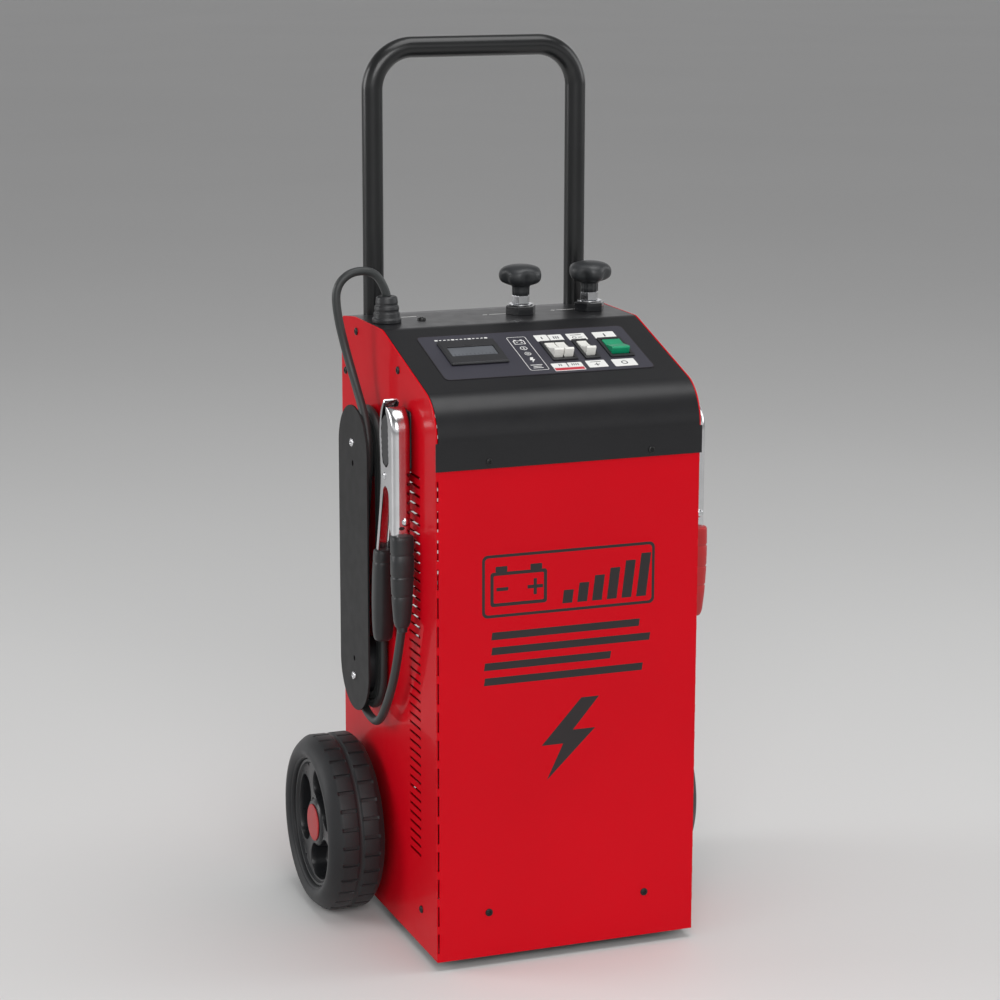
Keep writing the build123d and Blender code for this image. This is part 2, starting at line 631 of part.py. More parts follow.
def lead(points, label):
    """a round lead of straight runs joined by tangent arcs as large as the runs allow"""
    pts = [Vector(*p) for p in points]
    radii = []
    for a, b, c in zip(pts, pts[1:], pts[2:]):
        turn = math.radians((b - a).get_angle(c - b))
        radii.append(0.45 * min((b - a).length, (c - b).length) / math.tan(turn / 2))
    print(label, "radii", [round(r, 1) for r in radii], "runs", [round((b - a).length, 1) for a, b in zip(pts, pts[1:])])
    with BuildPart() as tube:
        with BuildLine() as path:
            FilletPolyline(*points, radius=radii)
        with BuildSketch(Plane(origin=path.line @ 0, z_dir=path.line % 0)):
            Circle(CORD_R)
        sweep()
    print(label, "length", round(path.wire().length, 1), "volume ratio",
          round(tube.part.volume / (math.pi * CORD_R ** 2 * path.wire().length), 4))
    save(tube.part, label)


lead(UPPER, "lead_upper")
lead(LOWER, "lead_lower")

# ---------------------------------------------------------------- battery clamps
PY, PZ = PIVOT
FRONT_SIDE = [(63.5, 430), (72, 430), (72, 446), (77, 453), (77.5, 486), (84, 492), (92, 494), (100, 500), (100, 506),
              (92, 511.2), (84, 512), (77.5, 520), (79, 562), (86, 571), (85, 576), (78, 575), (69, 568), (63, 556), (63, 452)]
FRONT_WEB = [(63.5, 430), (64.9, 430), (64.9, 446), (64.4, 452), (64.4, 555.5), (70, 566.6), (78.6, 573.4), (85.5, 574.4), (85, 576),
             (78, 575), (69, 568), (63, 556), (63, 452)]
REAR_SIDE = [(119, 400), (128, 400), (129, 420), (117, 468), (112.5, 495), (116, 546), (111, 572), (99, 581), (96.5, 577),
             (104, 566), (106.8, 546), (101.5, 512), (92, 511), (84, 506), (84, 499), (92, 494), (100, 488), (106, 466), (118, 420)]
REAR_WEB = [(126.6, 400), (128, 400), (129, 420), (117, 468), (112.5, 495), (116, 546), (111, 572), (99, 581), (98, 579.6),
            (109.8, 571.2), (114.6, 546), (111.1, 495), (115.6, 467.6), (127.5, 420)]
JAW_HALF, INNER_HALF, GAUGE = 10.0, 8.3, 1.3

for tag in ("black", "red"):
    cx = CLAMP_X[tag]
    down = Location((0, 0, -CLAMP_DROP[tag]))

    with BuildPart() as jaw_front:
        for x0, d in ((cx - JAW_HALF, GAUGE), (cx + JAW_HALF, -GAUGE)):
            with BuildSketch(Plane.YZ.offset(x0)):
                with BuildLine():
                    Polyline(*yz(FRONT_SIDE), close=True)
                make_face()
                with Locations((PY, PZ)):
                    Circle(2.55, mode=Mode.SUBTRACT)
            extrude(amount=d)
        with BuildSketch(Plane.YZ.offset(cx - JAW_HALF)):
            with BuildLine():
                Polyline(*yz(FRONT_WEB), close=True)
            make_face()
        extrude(amount=2 * JAW_HALF)
    save(jaw_front.part.moved(down), f"clamp_{tag}_jaw_front")

    with BuildPart() as jaw_rear:
        for x0, d in ((cx - INNER_HALF, GAUGE), (cx + INNER_HALF, -GAUGE)):
            with BuildSketch(Plane.YZ.offset(x0)):
                with BuildLine():
                    Polyline(*yz(REAR_SIDE), close=True)
                make_face()
                with Locations((PY, PZ)):
                    Circle(2.5 + RUN, mode=Mode.SUBTRACT)
            extrude(amount=d)
        with BuildSketch(Plane.YZ.offset(cx - INNER_HALF)):
            with BuildLine():
                Polyline(*yz(REAR_WEB), close=True)
            make_face()
        extrude(amount=2 * INNER_HALF)
    save(jaw_rear.part.moved(down), f"clamp_{tag}_jaw_rear")

    with BuildPart() as pivot_pin:
        with BuildSketch(Plane.YZ.offset(cx - JAW_HALF - 1.3)):
            with Locations((PY, PZ)):
                Circle(4.2)
        extrude(amount=1.25)
        with BuildSketch(Plane.YZ.offset(cx + JAW_HALF + 0.05)):
            with Locations((PY, PZ)):
                Circle(4.2)
        extrude(amount=1.25)
        with BuildSketch(Plane.YZ.offset(cx - JAW_HALF - 1.3)):
            with Locations((PY, PZ)):
                Circle(2.5)
        extrude(amount=2 * JAW_HALF + 2.6)
    save(pivot_pin.part.moved(down), f"clamp_{tag}_pivot_pin")

    with BuildPart() as spring:
        with BuildSketch(Plane.YZ.offset(cx - 6.4)):
            with Locations((PY, PZ)):
                Circle(6.2)
                Circle(3.2, mode=Mode.SUBTRACT)
        extrude(amount=12.8)
    save(spring.part.moved(down), f"clamp_{tag}_spring")

    with BuildPart() as grip_front:
        for z, y0, y1, hw, r in ((444.6, 55, 76, 12, 6), (415, 54.5, 75.5, 12, 7), (372, 56.5, 74.5, 10.5, 7), (346, 60, 74, 7.5, 5.5)):
            with BuildSketch(Plane.XY.offset(z)):
                with Locations((cx, YF + (y0 + y1) / 2)):
                    RectangleRounded(2 * hw, y1 - y0, r)
        loft()
        with BuildSketch(Plane.XY.offset(429.5)):
            with Locations((cx, YF + (62.8 + 72.4) / 2)):
                Rectangle(2 * JAW_HALF + 0.4, 9.6)
        extrude(amount=30, mode=Mode.SUBTRACT)
    save(grip_front.part.moved(down), f"clamp_{tag}_grip_front")

    with BuildPart() as grip_rear:
        for z, y0, y1, hw, r in ((417, 114.5, 133.5, 11, 6), (385, 115, 137, 12, 8), (340, 118.5, 139, 11.5, 8), (316, 123, 138, 9, 6)):
            with BuildSketch(Plane.XY.offset(z)):
                with Locations((cx, YF + (y0 + y1) / 2)):
                    RectangleRounded(2 * hw, y1 - y0, r)
        loft()
        with BuildSketch(Plane.XY.offset(399.5)):
            with Locations((cx, YF + (117.8 + 129.3) / 2)):
                Rectangle(2 * INNER_HALF + 0.4, 11.5)
        extrude(amount=30, mode=Mode.SUBTRACT)
    save(grip_rear.part.moved(down), f"clamp_{tag}_grip_rear")

LUG = [(79.8, 521), (87, 514.5), (92, 512.8), (97, 514), (101.2, 519), (106, 546), (102.5, 560), (95, 566), (88, 566), (80.8, 560), (79.6, 540)]
with BuildPart() as clamp_lugs:
    for x0, d, drop in ((-W / 2 - 0.05, -23.2, 0), (W / 2 + 0.05, 34.5, CLAMP_DROP["red"])):
        with BuildSketch(Plane.YZ.offset(x0)):
            with BuildLine():
                Polyline(*yz([(a, b - drop) for a, b in LUG]), close=True)
            make_face()
        extrude(amount=d)
        with BuildSketch(Plane.YZ.offset(x0)):
            with Locations((YF + 92.5, 540 - drop)):
                RectangleRounded(34, 62, 5)
        extrude(amount=2.0 if d > 0 else -2.0)
save(clamp_lugs.part, "clamp_lugs")

# ---------------------------------------------------------------- inside the cabinet
TY = YF + 118.0
with BuildPart() as transformer_core:
    with Locations((0, TY, 4 + 62.5 + 16)):
        Box(150, 110, 125)
    with BuildSketch(Plane.XZ.offset(-TY + 60)):
        with Locations((-37.5, 82.5), (37.5, 82.5)):
            Rectangle(25, 75)
    extrude(amount=-120, mode=Mode.SUBTRACT)
    for s in (-1, 1):
        with Locations((s * 62, TY, (T + 0.1 + 20) / 2)):
            Box(24, 118, 20 - T - 0.1)
save(transformer_core.part, "transformer_core")

with BuildPart() as transformer_windings:
    with Locations((0, TY, 82.5)):
        Box(99, 158, 73)
        Box(50.4, 110.6, 80, mode=Mode.SUBTRACT)
    fillet(transformer_windings.edges().filter_by(Axis.Z).filter_by(lambda e: abs(e.center().X) > 45), 14)
save(transformer_windings.part, "transformer_windings")

with BuildPart() as rectifier_heatsink:
    with BuildSketch(Plane.XY.offset(220)):
        with Locations((0, YF + 190)):
            Rectangle(160, 8)
        with Locations((0, YF + 190 + 4 + 17)):
            with GridLocations(12.6, 10, 13, 1):
                Rectangle(2.4, 34.2)
    extrude(amount=130)
    # shelf legs down to the base pan
    with BuildSketch(Plane.XY.offset(T + 0.1)):
        with Locations((-88, YF + 190), (88, YF + 190)):
            Rectangle(16, 20)
    extrude(amount=300)
save(rectifier_heatsink.part, "rectifier_heatsink")

with BuildPart() as rectifier_diodes:
    with BuildSketch(Plane.XZ.offset(-(YF + 185.9))):
        with Locations((0, 285)):
            with GridLocations(50, 60, 3, 2):
                Circle(9)
    extrude(amount=9)
    with BuildSketch(Plane.XZ.offset(-(YF + 178))):
        with Locations((0, 285)):
            with GridLocations(50, 60, 3, 2):
                Circle(2)
    extrude(amount=16)
save(rectifier_diodes.part, "rectifier_diodes")

with BuildPart() as control_board:
    with BuildSketch(Plane.XY.offset(460)):
        with Locations((0, YF + 150)):
            Rectangle(150, 90)
    extrude(amount=1.6)
    for x, y, w, d, h in ((-45, 130, 40, 34, 38), (20, 135, 28, 28, 18), (52, 170, 18, 20, 14), (-10, 175, 44, 20, 10)):
        with Locations((x, YF + y, 461.6 + h / 2)):
            Box(w, d, h)
    # stand-offs to the top of the heatsink frame
    with BuildSketch(Plane.XY.offset(350.1)):
        with Locations((-70, YF + 190), (70, YF + 190)):
            Rectangle(8, 4)
    extrude(amount=109.9)
    # strip fuse in its holder
    with Locations((52, YF + 130, 461.6 + 7)):
        Box(16, 50, 14)
save(control_board.part, "control_board")

# ---------------------------------------------------------------- cabinet screws
with BuildPart() as case_screws:
    with BuildSketch(Plane.YZ.offset(W / 2 + 0.05)):
        with Locations(*yz(SIDE_SCREWS)):
            Circle(4.1)
    extrude(amount=1.9)
    with BuildSketch(Plane.YZ.offset(W / 2 + 0.05)):
        with Locations(*yz(SIDE_SCREWS)):
            Circle(1.8)
    extrude(amount=-7)
    mirror(about=Plane.YZ)
    for y0, pts in ((YF - 0.05, [(-88, 48.4), (88, 48.4)]), (YF - 1.65, [(-89, 530), (89, 530)])):
        with BuildSketch(Plane.XZ.offset(-y0)):
            with Locations(*pts):
                Circle(4.1)
        extrude(amount=1.45)
        with BuildSketch(Plane.XZ.offset(-y0)):
            with Locations(*pts):
                Circle(1.8)
        extrude(amount=-7)
    with BuildSketch(Plane.XZ.offset(-(YF + D + 0.05))):
        with Locations(*REAR_SCREWS):
            Circle(4.1)
    extrude(amount=-1.9)
    with BuildSketch(Plane.XZ.offset(-(YF + D + 0.05))):
        with Locations(*REAR_SCREWS):
            Circle(1.8)
    extrude(amount=7)
    with BuildSketch(Plane.XY.offset(H + 0.05)):
        with Locations((-84, YF + 220)):
            Circle(4.6)
    extrude(amount=2.6)
    with BuildSketch(Plane.XY.offset(H + 0.05)):
        with Locations((-84, YF + 220)):
            Circle(1.8)
    extrude(amount=-7)
save(case_screws.part, "case_screws")
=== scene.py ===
import json
import math
import bmesh
import bpy
from mathutils import Matrix, Vector

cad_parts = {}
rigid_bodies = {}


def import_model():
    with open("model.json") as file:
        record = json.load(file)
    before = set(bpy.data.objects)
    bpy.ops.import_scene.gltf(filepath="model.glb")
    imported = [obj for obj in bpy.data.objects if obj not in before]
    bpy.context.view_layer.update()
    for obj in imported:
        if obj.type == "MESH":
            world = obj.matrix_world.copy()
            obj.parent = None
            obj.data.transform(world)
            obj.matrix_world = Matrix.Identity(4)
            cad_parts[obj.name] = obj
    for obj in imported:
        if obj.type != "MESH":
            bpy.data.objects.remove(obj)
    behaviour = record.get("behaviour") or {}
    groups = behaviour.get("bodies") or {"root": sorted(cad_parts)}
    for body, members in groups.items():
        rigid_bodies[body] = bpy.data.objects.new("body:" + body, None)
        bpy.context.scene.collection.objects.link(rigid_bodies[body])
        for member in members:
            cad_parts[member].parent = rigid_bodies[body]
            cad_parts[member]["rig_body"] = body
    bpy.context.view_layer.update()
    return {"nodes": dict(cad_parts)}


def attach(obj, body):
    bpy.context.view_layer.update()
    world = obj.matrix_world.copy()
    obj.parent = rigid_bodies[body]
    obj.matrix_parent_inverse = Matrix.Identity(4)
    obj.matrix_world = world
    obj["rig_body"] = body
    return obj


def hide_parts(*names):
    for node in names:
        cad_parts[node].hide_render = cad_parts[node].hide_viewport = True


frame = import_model()
N = frame["nodes"]

MM = 0.001
YF = -162.45                       # front sheet, mm
SLOPE = math.radians(17.2)
SA, CA = math.sin(SLOPE), math.cos(SLOPE)


LIFT = 10.0                        # the cabinet's bottom edge above the floor, mm


DROP = 0.0                         # how much lower a clamp hangs than the left one, mm


def v3(x, y, z):
    """mm, with z counted from the cabinet's bottom edge"""
    return Vector((x * MM, y * MM, (z + LIFT - DROP) * MM))


def slope_pt(x, s, h):
    """a point on the control slope: x across, s up the slope, h above it, in mm"""
    return v3(x, YF + s * CA - h * SA, 588 + s * SA + h * CA)


# ------------------------------------------------------------------ camera
cam_data = bpy.data.cameras.new("camera")
cam = bpy.data.objects.new("camera", cam_data)
bpy.context.scene.collection.objects.link(cam)
CAM_YAW, CAM_PITCH, CAM_ROLL = math.radians(20.615), math.radians(12.76), math.radians(0.12)
cam.location = (-1.06337, -2.78518, 1.13404)
fwd = Vector((math.sin(CAM_YAW) * math.cos(CAM_PITCH), math.cos(CAM_YAW) * math.cos(CAM_PITCH), -math.sin(CAM_PITCH)))
cam.rotation_mode = "QUATERNION"
cam.rotation_quaternion = fwd.to_track_quat("-Z", "Y") @ Matrix.Rotation(CAM_ROLL, 3, "Z").to_quaternion()
cam_data.sensor_width = 36.0
cam_data.lens = 102.2
cam_data.clip_start, cam_data.clip_end = 0.05, 60
bpy.context.scene.camera = cam


# ------------------------------------------------------------------ materials
def lin(c):
    """sRGB hex to linear"""
    c = c.lstrip("#")
    out = []
    for i in (0, 2, 4):
        a = int(c[i:i + 2], 16) / 255
        out.append(a / 12.92 if a <= 0.04045 else ((a + 0.055) / 1.055) ** 2.4)
    return tuple(out)


def material(name, color, rough=0.4, metal=0.0, coat=0.0, coat_rough=0.06, spec=0.5, dark=0.9, light=1.08,
             tone_scale=9.0, rough_span=0.08, rough_scale=60.0, bump=0.12, bump_scale=900.0, bump_mm=0.05,
             stretch=None, second=None, speck=0.0, speck_color=(0.3, 0.3, 0.3), speck_scale=700.0, detail=3.0, sheen=0.0):
    m = bpy.data.materials.new(name)
    m.use_nodes = True
    nt = m.node_tree
    nt.nodes.clear()
    L = nt.links.new
    out = nt.nodes.new("ShaderNodeOutputMaterial")
    b = nt.nodes.new("ShaderNodeBsdfPrincipled")
    L(b.outputs[0], out.inputs[0])
    b.inputs["Metallic"].default_value = metal
    b.inputs["Specular IOR Level"].default_value = spec
    b.inputs["Coat Weight"].default_value = coat
    b.inputs["Coat Roughness"].default_value = coat_rough
    if sheen:
        b.inputs["Sheen Weight"].default_value = sheen
        b.inputs["Sheen Roughness"].default_value = 0.5
    tc = nt.nodes.new("ShaderNodeTexCoord")
    mp = nt.nodes.new("ShaderNodeMapping")
    if stretch:
        mp.inputs["Scale"].default_value = stretch
    L(tc.outputs["Object"], mp.inputs["Vector"])
    # colour: slow drift between a darker and a lighter tone of the same colour
    n1 = nt.nodes.new("ShaderNodeTexNoise")
    n1.inputs["Scale"].default_value = tone_scale
    n1.inputs["Detail"].default_value = detail
    L(tc.outputs["Object"], n1.inputs["Vector"])
    r1 = nt.nodes.new("ShaderNodeValToRGB")
    r1.color_ramp.elements[0].position = 0.3
    r1.color_ramp.elements[1].position = 0.7
    r1.color_ramp.elements[0].color = (*[min(1, c * dark) for c in color], 1)
    r1.color_ramp.elements[1].color = (*[min(1, c * light) for c in (second or color)], 1)
    L(n1.outputs["Fac"], r1.inputs["Fac"])
    col = r1.outputs["Color"]
    if speck:
        n4 = nt.nodes.new("ShaderNodeTexNoise")
        n4.inputs["Scale"].default_value = speck_scale
        n4.inputs["Detail"].default_value = 1.0
        L(mp.outputs["Vector"], n4.inputs["Vector"])
        r4 = nt.nodes.new("ShaderNodeValToRGB")
        r4.color_ramp.elements[0].position = 0.62
        r4.color_ramp.elements[1].position = 0.72
        r4.color_ramp.elements[0].color = (0, 0, 0, 1)
        r4.color_ramp.elements[1].color = (speck, speck, speck, 1)
        L(n4.outputs["Fac"], r4.inputs["Fac"])
        mx = nt.nodes.new("ShaderNodeMix")
        mx.data_type = "RGBA"
        L(r4.outputs["Color"], mx.inputs["Factor"])
        L(col, mx.inputs[6])
        mx.inputs[7].default_value = (*speck_color, 1)
        col = mx.outputs[2]
    L(col, b.inputs["Base Color"])
    # roughness: fine handling marks
    n2 = nt.nodes.new("ShaderNodeTexNoise")
    n2.inputs["Scale"].default_value = rough_scale
    n2.inputs["Detail"].default_value = 4.0
    L(mp.outputs["Vector"], n2.inputs["Vector"])
    r2 = nt.nodes.new("ShaderNodeMapRange")
    r2.inputs["To Min"].default_value = max(0.02, rough - rough_span)
    r2.inputs["To Max"].default_value = min(1.0, rough + rough_span)
    L(n2.outputs["Fac"], r2.inputs["Value"])
    L(r2.outputs["Result"], b.inputs["Roughness"])
    # bump: the surface's own grain
    n3 = nt.nodes.new("ShaderNodeTexNoise")
    n3.inputs["Scale"].default_value = bump_scale
    n3.inputs["Detail"].default_value = 2.0
    L(mp.outputs["Vector"], n3.inputs["Vector"])
    bp = nt.nodes.new("ShaderNodeBump")
    bp.inputs["Strength"].default_value = bump
    bp.inputs["Distance"].default_value = bump_mm * MM
    L(n3.outputs["Fac"], bp.inputs["Height"])
    L(bp.outputs["Normal"], b.inputs["Normal"])
    if coat:
        L(bp.outputs["Normal"], b.inputs["Coat Normal"])
    return m


RED = material("red_paint", lin("#ca0719"), rough=0.38, spec=0.03, coat=0.15, coat_rough=0.05, dark=0.94, light=1.05, tone_scale=3.0,
               rough_span=0.06, bump=0.10, bump_scale=420, bump_mm=0.035, speck=0.03, speck_color=lin("#a03040"), speck_scale=900)
HOOD = material("hood_paint", lin("#19191b"), rough=0.36, spec=0.30, coat=0.10, coat_rough=0.22, dark=0.88, light=1.12, tone_scale=7.0,
                rough_span=0.07, bump=0.16, bump_scale=900, bump_mm=0.03, speck=0.08, speck_color=lin("#4d4d50"), speck_scale=1300)
TUBE = material("tube_paint", lin("#121314"), rough=0.32, spec=0.4, coat=0.22, coat_rough=0.15, dark=0.85, light=1.15, tone_scale=14,
                rough_span=0.05, bump=0.05, bump_scale=300, bump_mm=0.02, speck=0.03, speck_color=lin("#3a3c3d"), speck_scale=800)
PLATE = material("plate_paint", lin("#1e1e1f"), rough=0.52, spec=0.25, dark=0.9, light=1.1, tone_scale=10, rough_span=0.08,
                 bump=0.3, bump_scale=1400, bump_mm=0.03, speck=0.15, speck_color=lin("#545456"), speck_scale=1600)
ZINC = material("zinc_steel", lin("#a9adad"), rough=0.34, metal=1.0, dark=0.8, light=1.15, tone_scale=45, rough_span=0.12,
                bump=0.2, bump_scale=500, bump_mm=0.02)
CHROME = material("chrome_plate", lin("#d6d6d8"), rough=0.17, metal=1.0, dark=0.9, light=1.05, tone_scale=30, rough_span=0.05,
                  rough_scale=120, bump=0.10, bump_scale=70, bump_mm=0.08, stretch=(1, 1, 0.12))
CHROME_TURNED = material("chrome_turned", lin("#cfd0d2"), rough=0.16, metal=1.0, dark=0.88, light=1.08, tone_scale=60, rough_span=0.06,
                         rough_scale=200, bump=0.15, bump_scale=300, bump_mm=0.03, stretch=(1, 1, 6))
TYRE = material("tyre_rubber", lin("#1f2022"), rough=0.50, spec=0.36, dark=0.85, light=1.12, tone_scale=16, rough_span=0.10, rough_scale=35,
                bump=0.35, bump_scale=1500, bump_mm=0.04, speck=0.15, speck_color=lin("#4c4c4c"), speck_scale=1500, sheen=0.04)
HUB = material("hub_plastic", lin("#222325"), rough=0.30, spec=0.45, dark=0.88, light=1.12, tone_scale=14, rough_span=0.08,
               bump=0.25, bump_scale=1300, bump_mm=0.025)
CAP = material("cap_plastic", lin("#a81c20"), rough=0.42, dark=0.88, light=1.1, tone_scale=60, rough_span=0.1,
               bump=0.35, bump_scale=700, bump_mm=0.05)
FILM = material("overlay_film", lin("#33323c"), rough=0.50, dark=0.92, light=1.08, tone_scale=12, rough_span=0.05,
                bump=0.35, bump_scale=2500, bump_mm=0.015)
BLACK = material("black_nylon", lin("#232426"), rough=0.42, dark=0.85, light=1.15, tone_scale=40, rough_span=0.09,
                 bump=0.3, bump_scale=1600, bump_mm=0.025)
BEZEL = material("bezel_plastic", lin("#252528"), rough=0.46, dark=0.88, light=1.12, tone_scale=40, rough_span=0.07,
                 bump=0.35, bump_scale=1800, bump_mm=0.02)
KNOB = material("knob_bakelite", lin("#26282a"), rough=0.44, coat=0.08, coat_rough=0.3, dark=0.88, light=1.15, tone_scale=50,
                rough_span=0.07, bump=0.14, bump_scale=900, bump_mm=0.02)
TERM_BASE = material("terminal_base_black", lin("#1c1d1f"), rough=0.16, coat=0.5, coat_rough=0.05, dark=0.85, light=1.2, tone_scale=50,
                     rough_span=0.06, bump=0.1, bump_scale=700, bump_mm=0.02)
WHITE = material("white_rocker", lin("#f0efe9"), rough=0.30, coat=0.2, coat_rough=0.1, dark=0.95, light=1.0, tone_scale=60,
                 rough_span=0.06, bump=0.12, bump_scale=1200, bump_mm=0.02)
GREEN = material("green_rocker", lin("#129468"), rough=0.32, coat=0.2, coat_rough=0.1, dark=0.86, light=1.1, tone_scale=60,
                 rough_span=0.06, bump=0.15, bump_scale=1200, bump_mm=0.02)
GLASS = material("meter_lcd", lin("#62656a"), rough=0.30, spec=0.3, dark=0.9, light=1.1, tone_scale=30, rough_span=0.05,
                 bump=0.05, bump_scale=600, bump_mm=0.01)
CABLE = material("lead_rubber", lin("#2a2d2d"), rough=0.45, dark=0.85, light=1.12, tone_scale=22, rough_span=0.09,
                 bump=0.35, bump_scale=1200, bump_mm=0.04, speck=0.12, speck_color=lin("#525655"), speck_scale=1400, sheen=0.05)
GRIP = material("black_grip", lin("#202224"), rough=0.42, dark=0.85, light=1.15, tone_scale=26, rough_span=0.1,
                bump=0.35, bump_scale=1300, bump_mm=0.04, sheen=0.05)
REDGRIP = material("red_grip", lin("#b01a1e"), rough=0.44, dark=0.88, light=1.1, tone_scale=26, rough_span=0.1,
                   bump=0.35, bump_scale=1300, bump_mm=0.04, sheen=0.05)
CORE = material("core_steel", lin("#5c5e60"), rough=0.55, metal=0.8, dark=0.75, light=1.2, tone_scale=30, rough_span=0.12,
                bump=0.6, bump_scale=300, bump_mm=0.1, stretch=(1, 8, 1))
COPPER = material("copper_winding", lin("#b3642c"), rough=0.32, metal=0.9, dark=0.75, light=1.2, tone_scale=60, rough_span=0.1,
                  bump=0.8, bump_scale=200, bump_mm=0.3, stretch=(0.3, 0.3, 4))
ALU = material("heatsink_aluminium", lin("#7e8083"), rough=0.55, metal=0.9, dark=0.85, light=1.1, tone_scale=30, rough_span=0.1,
               bump=0.3, bump_scale=350, bump_mm=0.03, stretch=(1, 1, 0.1))
DIODE = material("diode_plating", lin("#b9b6a8"), rough=0.3, metal=1.0, dark=0.85, light=1.1, tone_scale=80, rough_span=0.1, bump=0.2)
BOARD = material("board_green", lin("#1d6b3c"), rough=0.4, dark=0.8, light=1.25, tone_scale=120, rough_span=0.1, bump=0.4,
                 bump_scale=500, bump_mm=0.1, speck=0.7, speck_color=lin("#b9a76a"), speck_scale=260)
SCREW = material("screw_black", lin("#1c1c1c"), rough=0.33, metal=0.35, dark=0.8, light=1.2, tone_scale=90, rough_span=0.12,
                 bump=0.2, bump_scale=900, bump_mm=0.03)
INK_WHITE = material("print_white", lin("#e9e9e6"), rough=0.5, dark=0.95, light=1.0, tone_scale=90, rough_span=0.06, bump=0.2,
                     bump_scale=2500, bump_mm=0.01)
INK_GREY = material("print_grey", lin("#8d8f93"), rough=0.5, dark=0.92, light=1.05, tone_scale=90, rough_span=0.06, bump=0.2,
                    bump_scale=2500, bump_mm=0.01)
INK_RED = material("print_red", lin("#c0283a"), rough=0.5, dark=0.92, light=1.05, tone_scale=90, rough_span=0.06, bump=0.2,
                   bump_scale=2500, bump_mm=0.01)
INK_BLACK = material("print_black", lin("#1b1416"), rough=0.42, dark=0.88, light=1.12, tone_scale=25, rough_span=0.08, bump=0.2,
                     bump_scale=1500, bump_mm=0.015)
INK_DARK = material("print_dark", lin("#3a3d44"), rough=0.5, dark=0.92, light=1.08, tone_scale=90, rough_span=0.06, bump=0.2,
                    bump_scale=2500, bump_mm=0.01)


# ------------------------------------------------------------------ mesh helpers
def place(name, mesh, body, mat, replaces=(), sharp=32, weighted=False):
    mesh.validate()
    for p in mesh.polygons:
        p.use_smooth = True
    if sharp:
        mesh.set_sharp_from_angle(angle=math.radians(sharp))
    o = bpy.data.objects.new(name, mesh)
    bpy.context.scene.collection.objects.link(o)
    mesh.materials.clear()
    mesh.materials.append(mat)
    if weighted:
        w = o.modifiers.new("face_normals", "WEIGHTED_NORMAL")
        w.mode, w.weight, w.keep_sharp = "FACE_AREA", 50, True
    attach(o, body)
    if replaces:
        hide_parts(*replaces)
    return o


def from_bm(name, bm, body, mat, replaces=(), sharp=32, normals=True, weighted=False):
    if normals:
        bmesh.ops.recalc_face_normals(bm, faces=bm.faces)
    mesh = bpy.data.meshes.new(name)
    bm.to_mesh(mesh)
    bm.free()
    return place(name, mesh, body, mat, replaces, sharp, weighted)


def refined(node, width, mat, segs=2, angle=30, name=None, pick=None, sharp=40, dissolve=0.6, also=None):
    """the CAD node's own shape with every hard edge rounded off by width mm"""
    src = N[node].data
    mesh = bpy.data.meshes.new(node + "_soft")
    mesh.from_pydata([tuple(v.co) for v in src.vertices], [], [tuple(p.vertices) for p in src.polygons])
    bm = bmesh.new()
    bm.from_mesh(mesh)
    bpy.data.meshes.remove(mesh)
    bmesh.ops.remove_doubles(bm, verts=bm.verts, dist=2e-6)
    if dissolve:
        bmesh.ops.dissolve_limit(bm, angle_limit=math.radians(dissolve), verts=bm.verts, edges=bm.edges,
                                 use_dissolve_boundaries=False)
    bmesh.ops.dissolve_degenerate(bm, edges=bm.edges, dist=1e-6)
    lo = [min(v.co[i] for v in bm.verts) for i in range(3)]
    hi = [max(v.co[i] for v in bm.verts) for i in range(3)]
    edges = [e for e in bm.edges if e.is_manifold and e.calc_face_angle(0.0) > math.radians(angle)
             and (pick is None or pick(e))]
    if edges and width:
        bmesh.ops.bevel(bm, geom=edges, offset=width * MM, offset_type="OFFSET", segments=segs, profile=0.5,
                        affect="EDGES", clamp_overlap=bool(dissolve), miter_outer="ARC" if dissolve else "SHARP")
    for v in bm.verts:
        for i in range(3):
            v.co[i] = min(max(v.co[i], lo[i]), hi[i])
    if also:
        also(bm)
    return from_bm(name or node + "_skin", bm, N[node]["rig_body"], mat, (node,), sharp, normals=False, weighted=True)


def lathe(bm, profile, centre, axis, segs=64, phase=0.0, wave=None, close_start=False, close_end=False):
    """profile: list of (distance along axis, radius) in mm, spun about axis through centre (mm)"""
    axis = Vector(axis).normalized()
    side = axis.orthogonal().normalized()
    up = axis.cross(side)
    c = v3(*centre)
    rings = []
    for (d, r) in profile:
        ring = []
        for i in range(segs):
            t = 2 * math.pi * i / segs + phase
            rr = r * (wave(t, d, r) if wave else 1.0)
            ring.append(bm.verts.new(c + axis * (d * MM) + (side * math.cos(t) + up * math.sin(t)) * (rr * MM)))
        rings.append(ring)
    for a, b in zip(rings, rings[1:]):
        for i in range(segs):
            j = (i + 1) % segs
            bm.faces.new((a[i], a[j], b[j], b[i]))
    for flag, ring, (d, r) in ((close_start, rings[0], profile[0]), (close_end, rings[-1], profile[-1])):
        if flag:
            mid = bm.verts.new(c + axis * (d * MM))
            for i in range(segs):
                bm.faces.new((ring[i], ring[(i + 1) % segs], mid))
    return rings


def round_profile(pts, r, steps=4):
    """an open polyline of (a, b) with each inner corner replaced by an arc of radius up to r"""
    out = [pts[0]]
    for p0, p1, p2 in zip(pts, pts[1:], pts[2:]):
        a, b, c = Vector(p0), Vector(p1), Vector(p2)
        u, w = (a - b), (c - b)
        lu, lw = u.length, w.length
        if lu < 1e-6 or lw < 1e-6:
            continue
        u.normalize(), w.normalize()
        ang = math.acos(max(-1, min(1, u.dot(w))))
        if ang > math.radians(176) or ang < math.radians(4):
            out.append(p1)
            continue
        t = min(r / math.tan(ang / 2), lu * 0.45, lw * 0.45)
        s, e = b + u * t, b + w * t
        for k in range(steps + 1):
            f = k / steps
            out.append(tuple(s.lerp(b, f).lerp(b.lerp(e, f), f)))
    out.append(pts[-1])
    return out


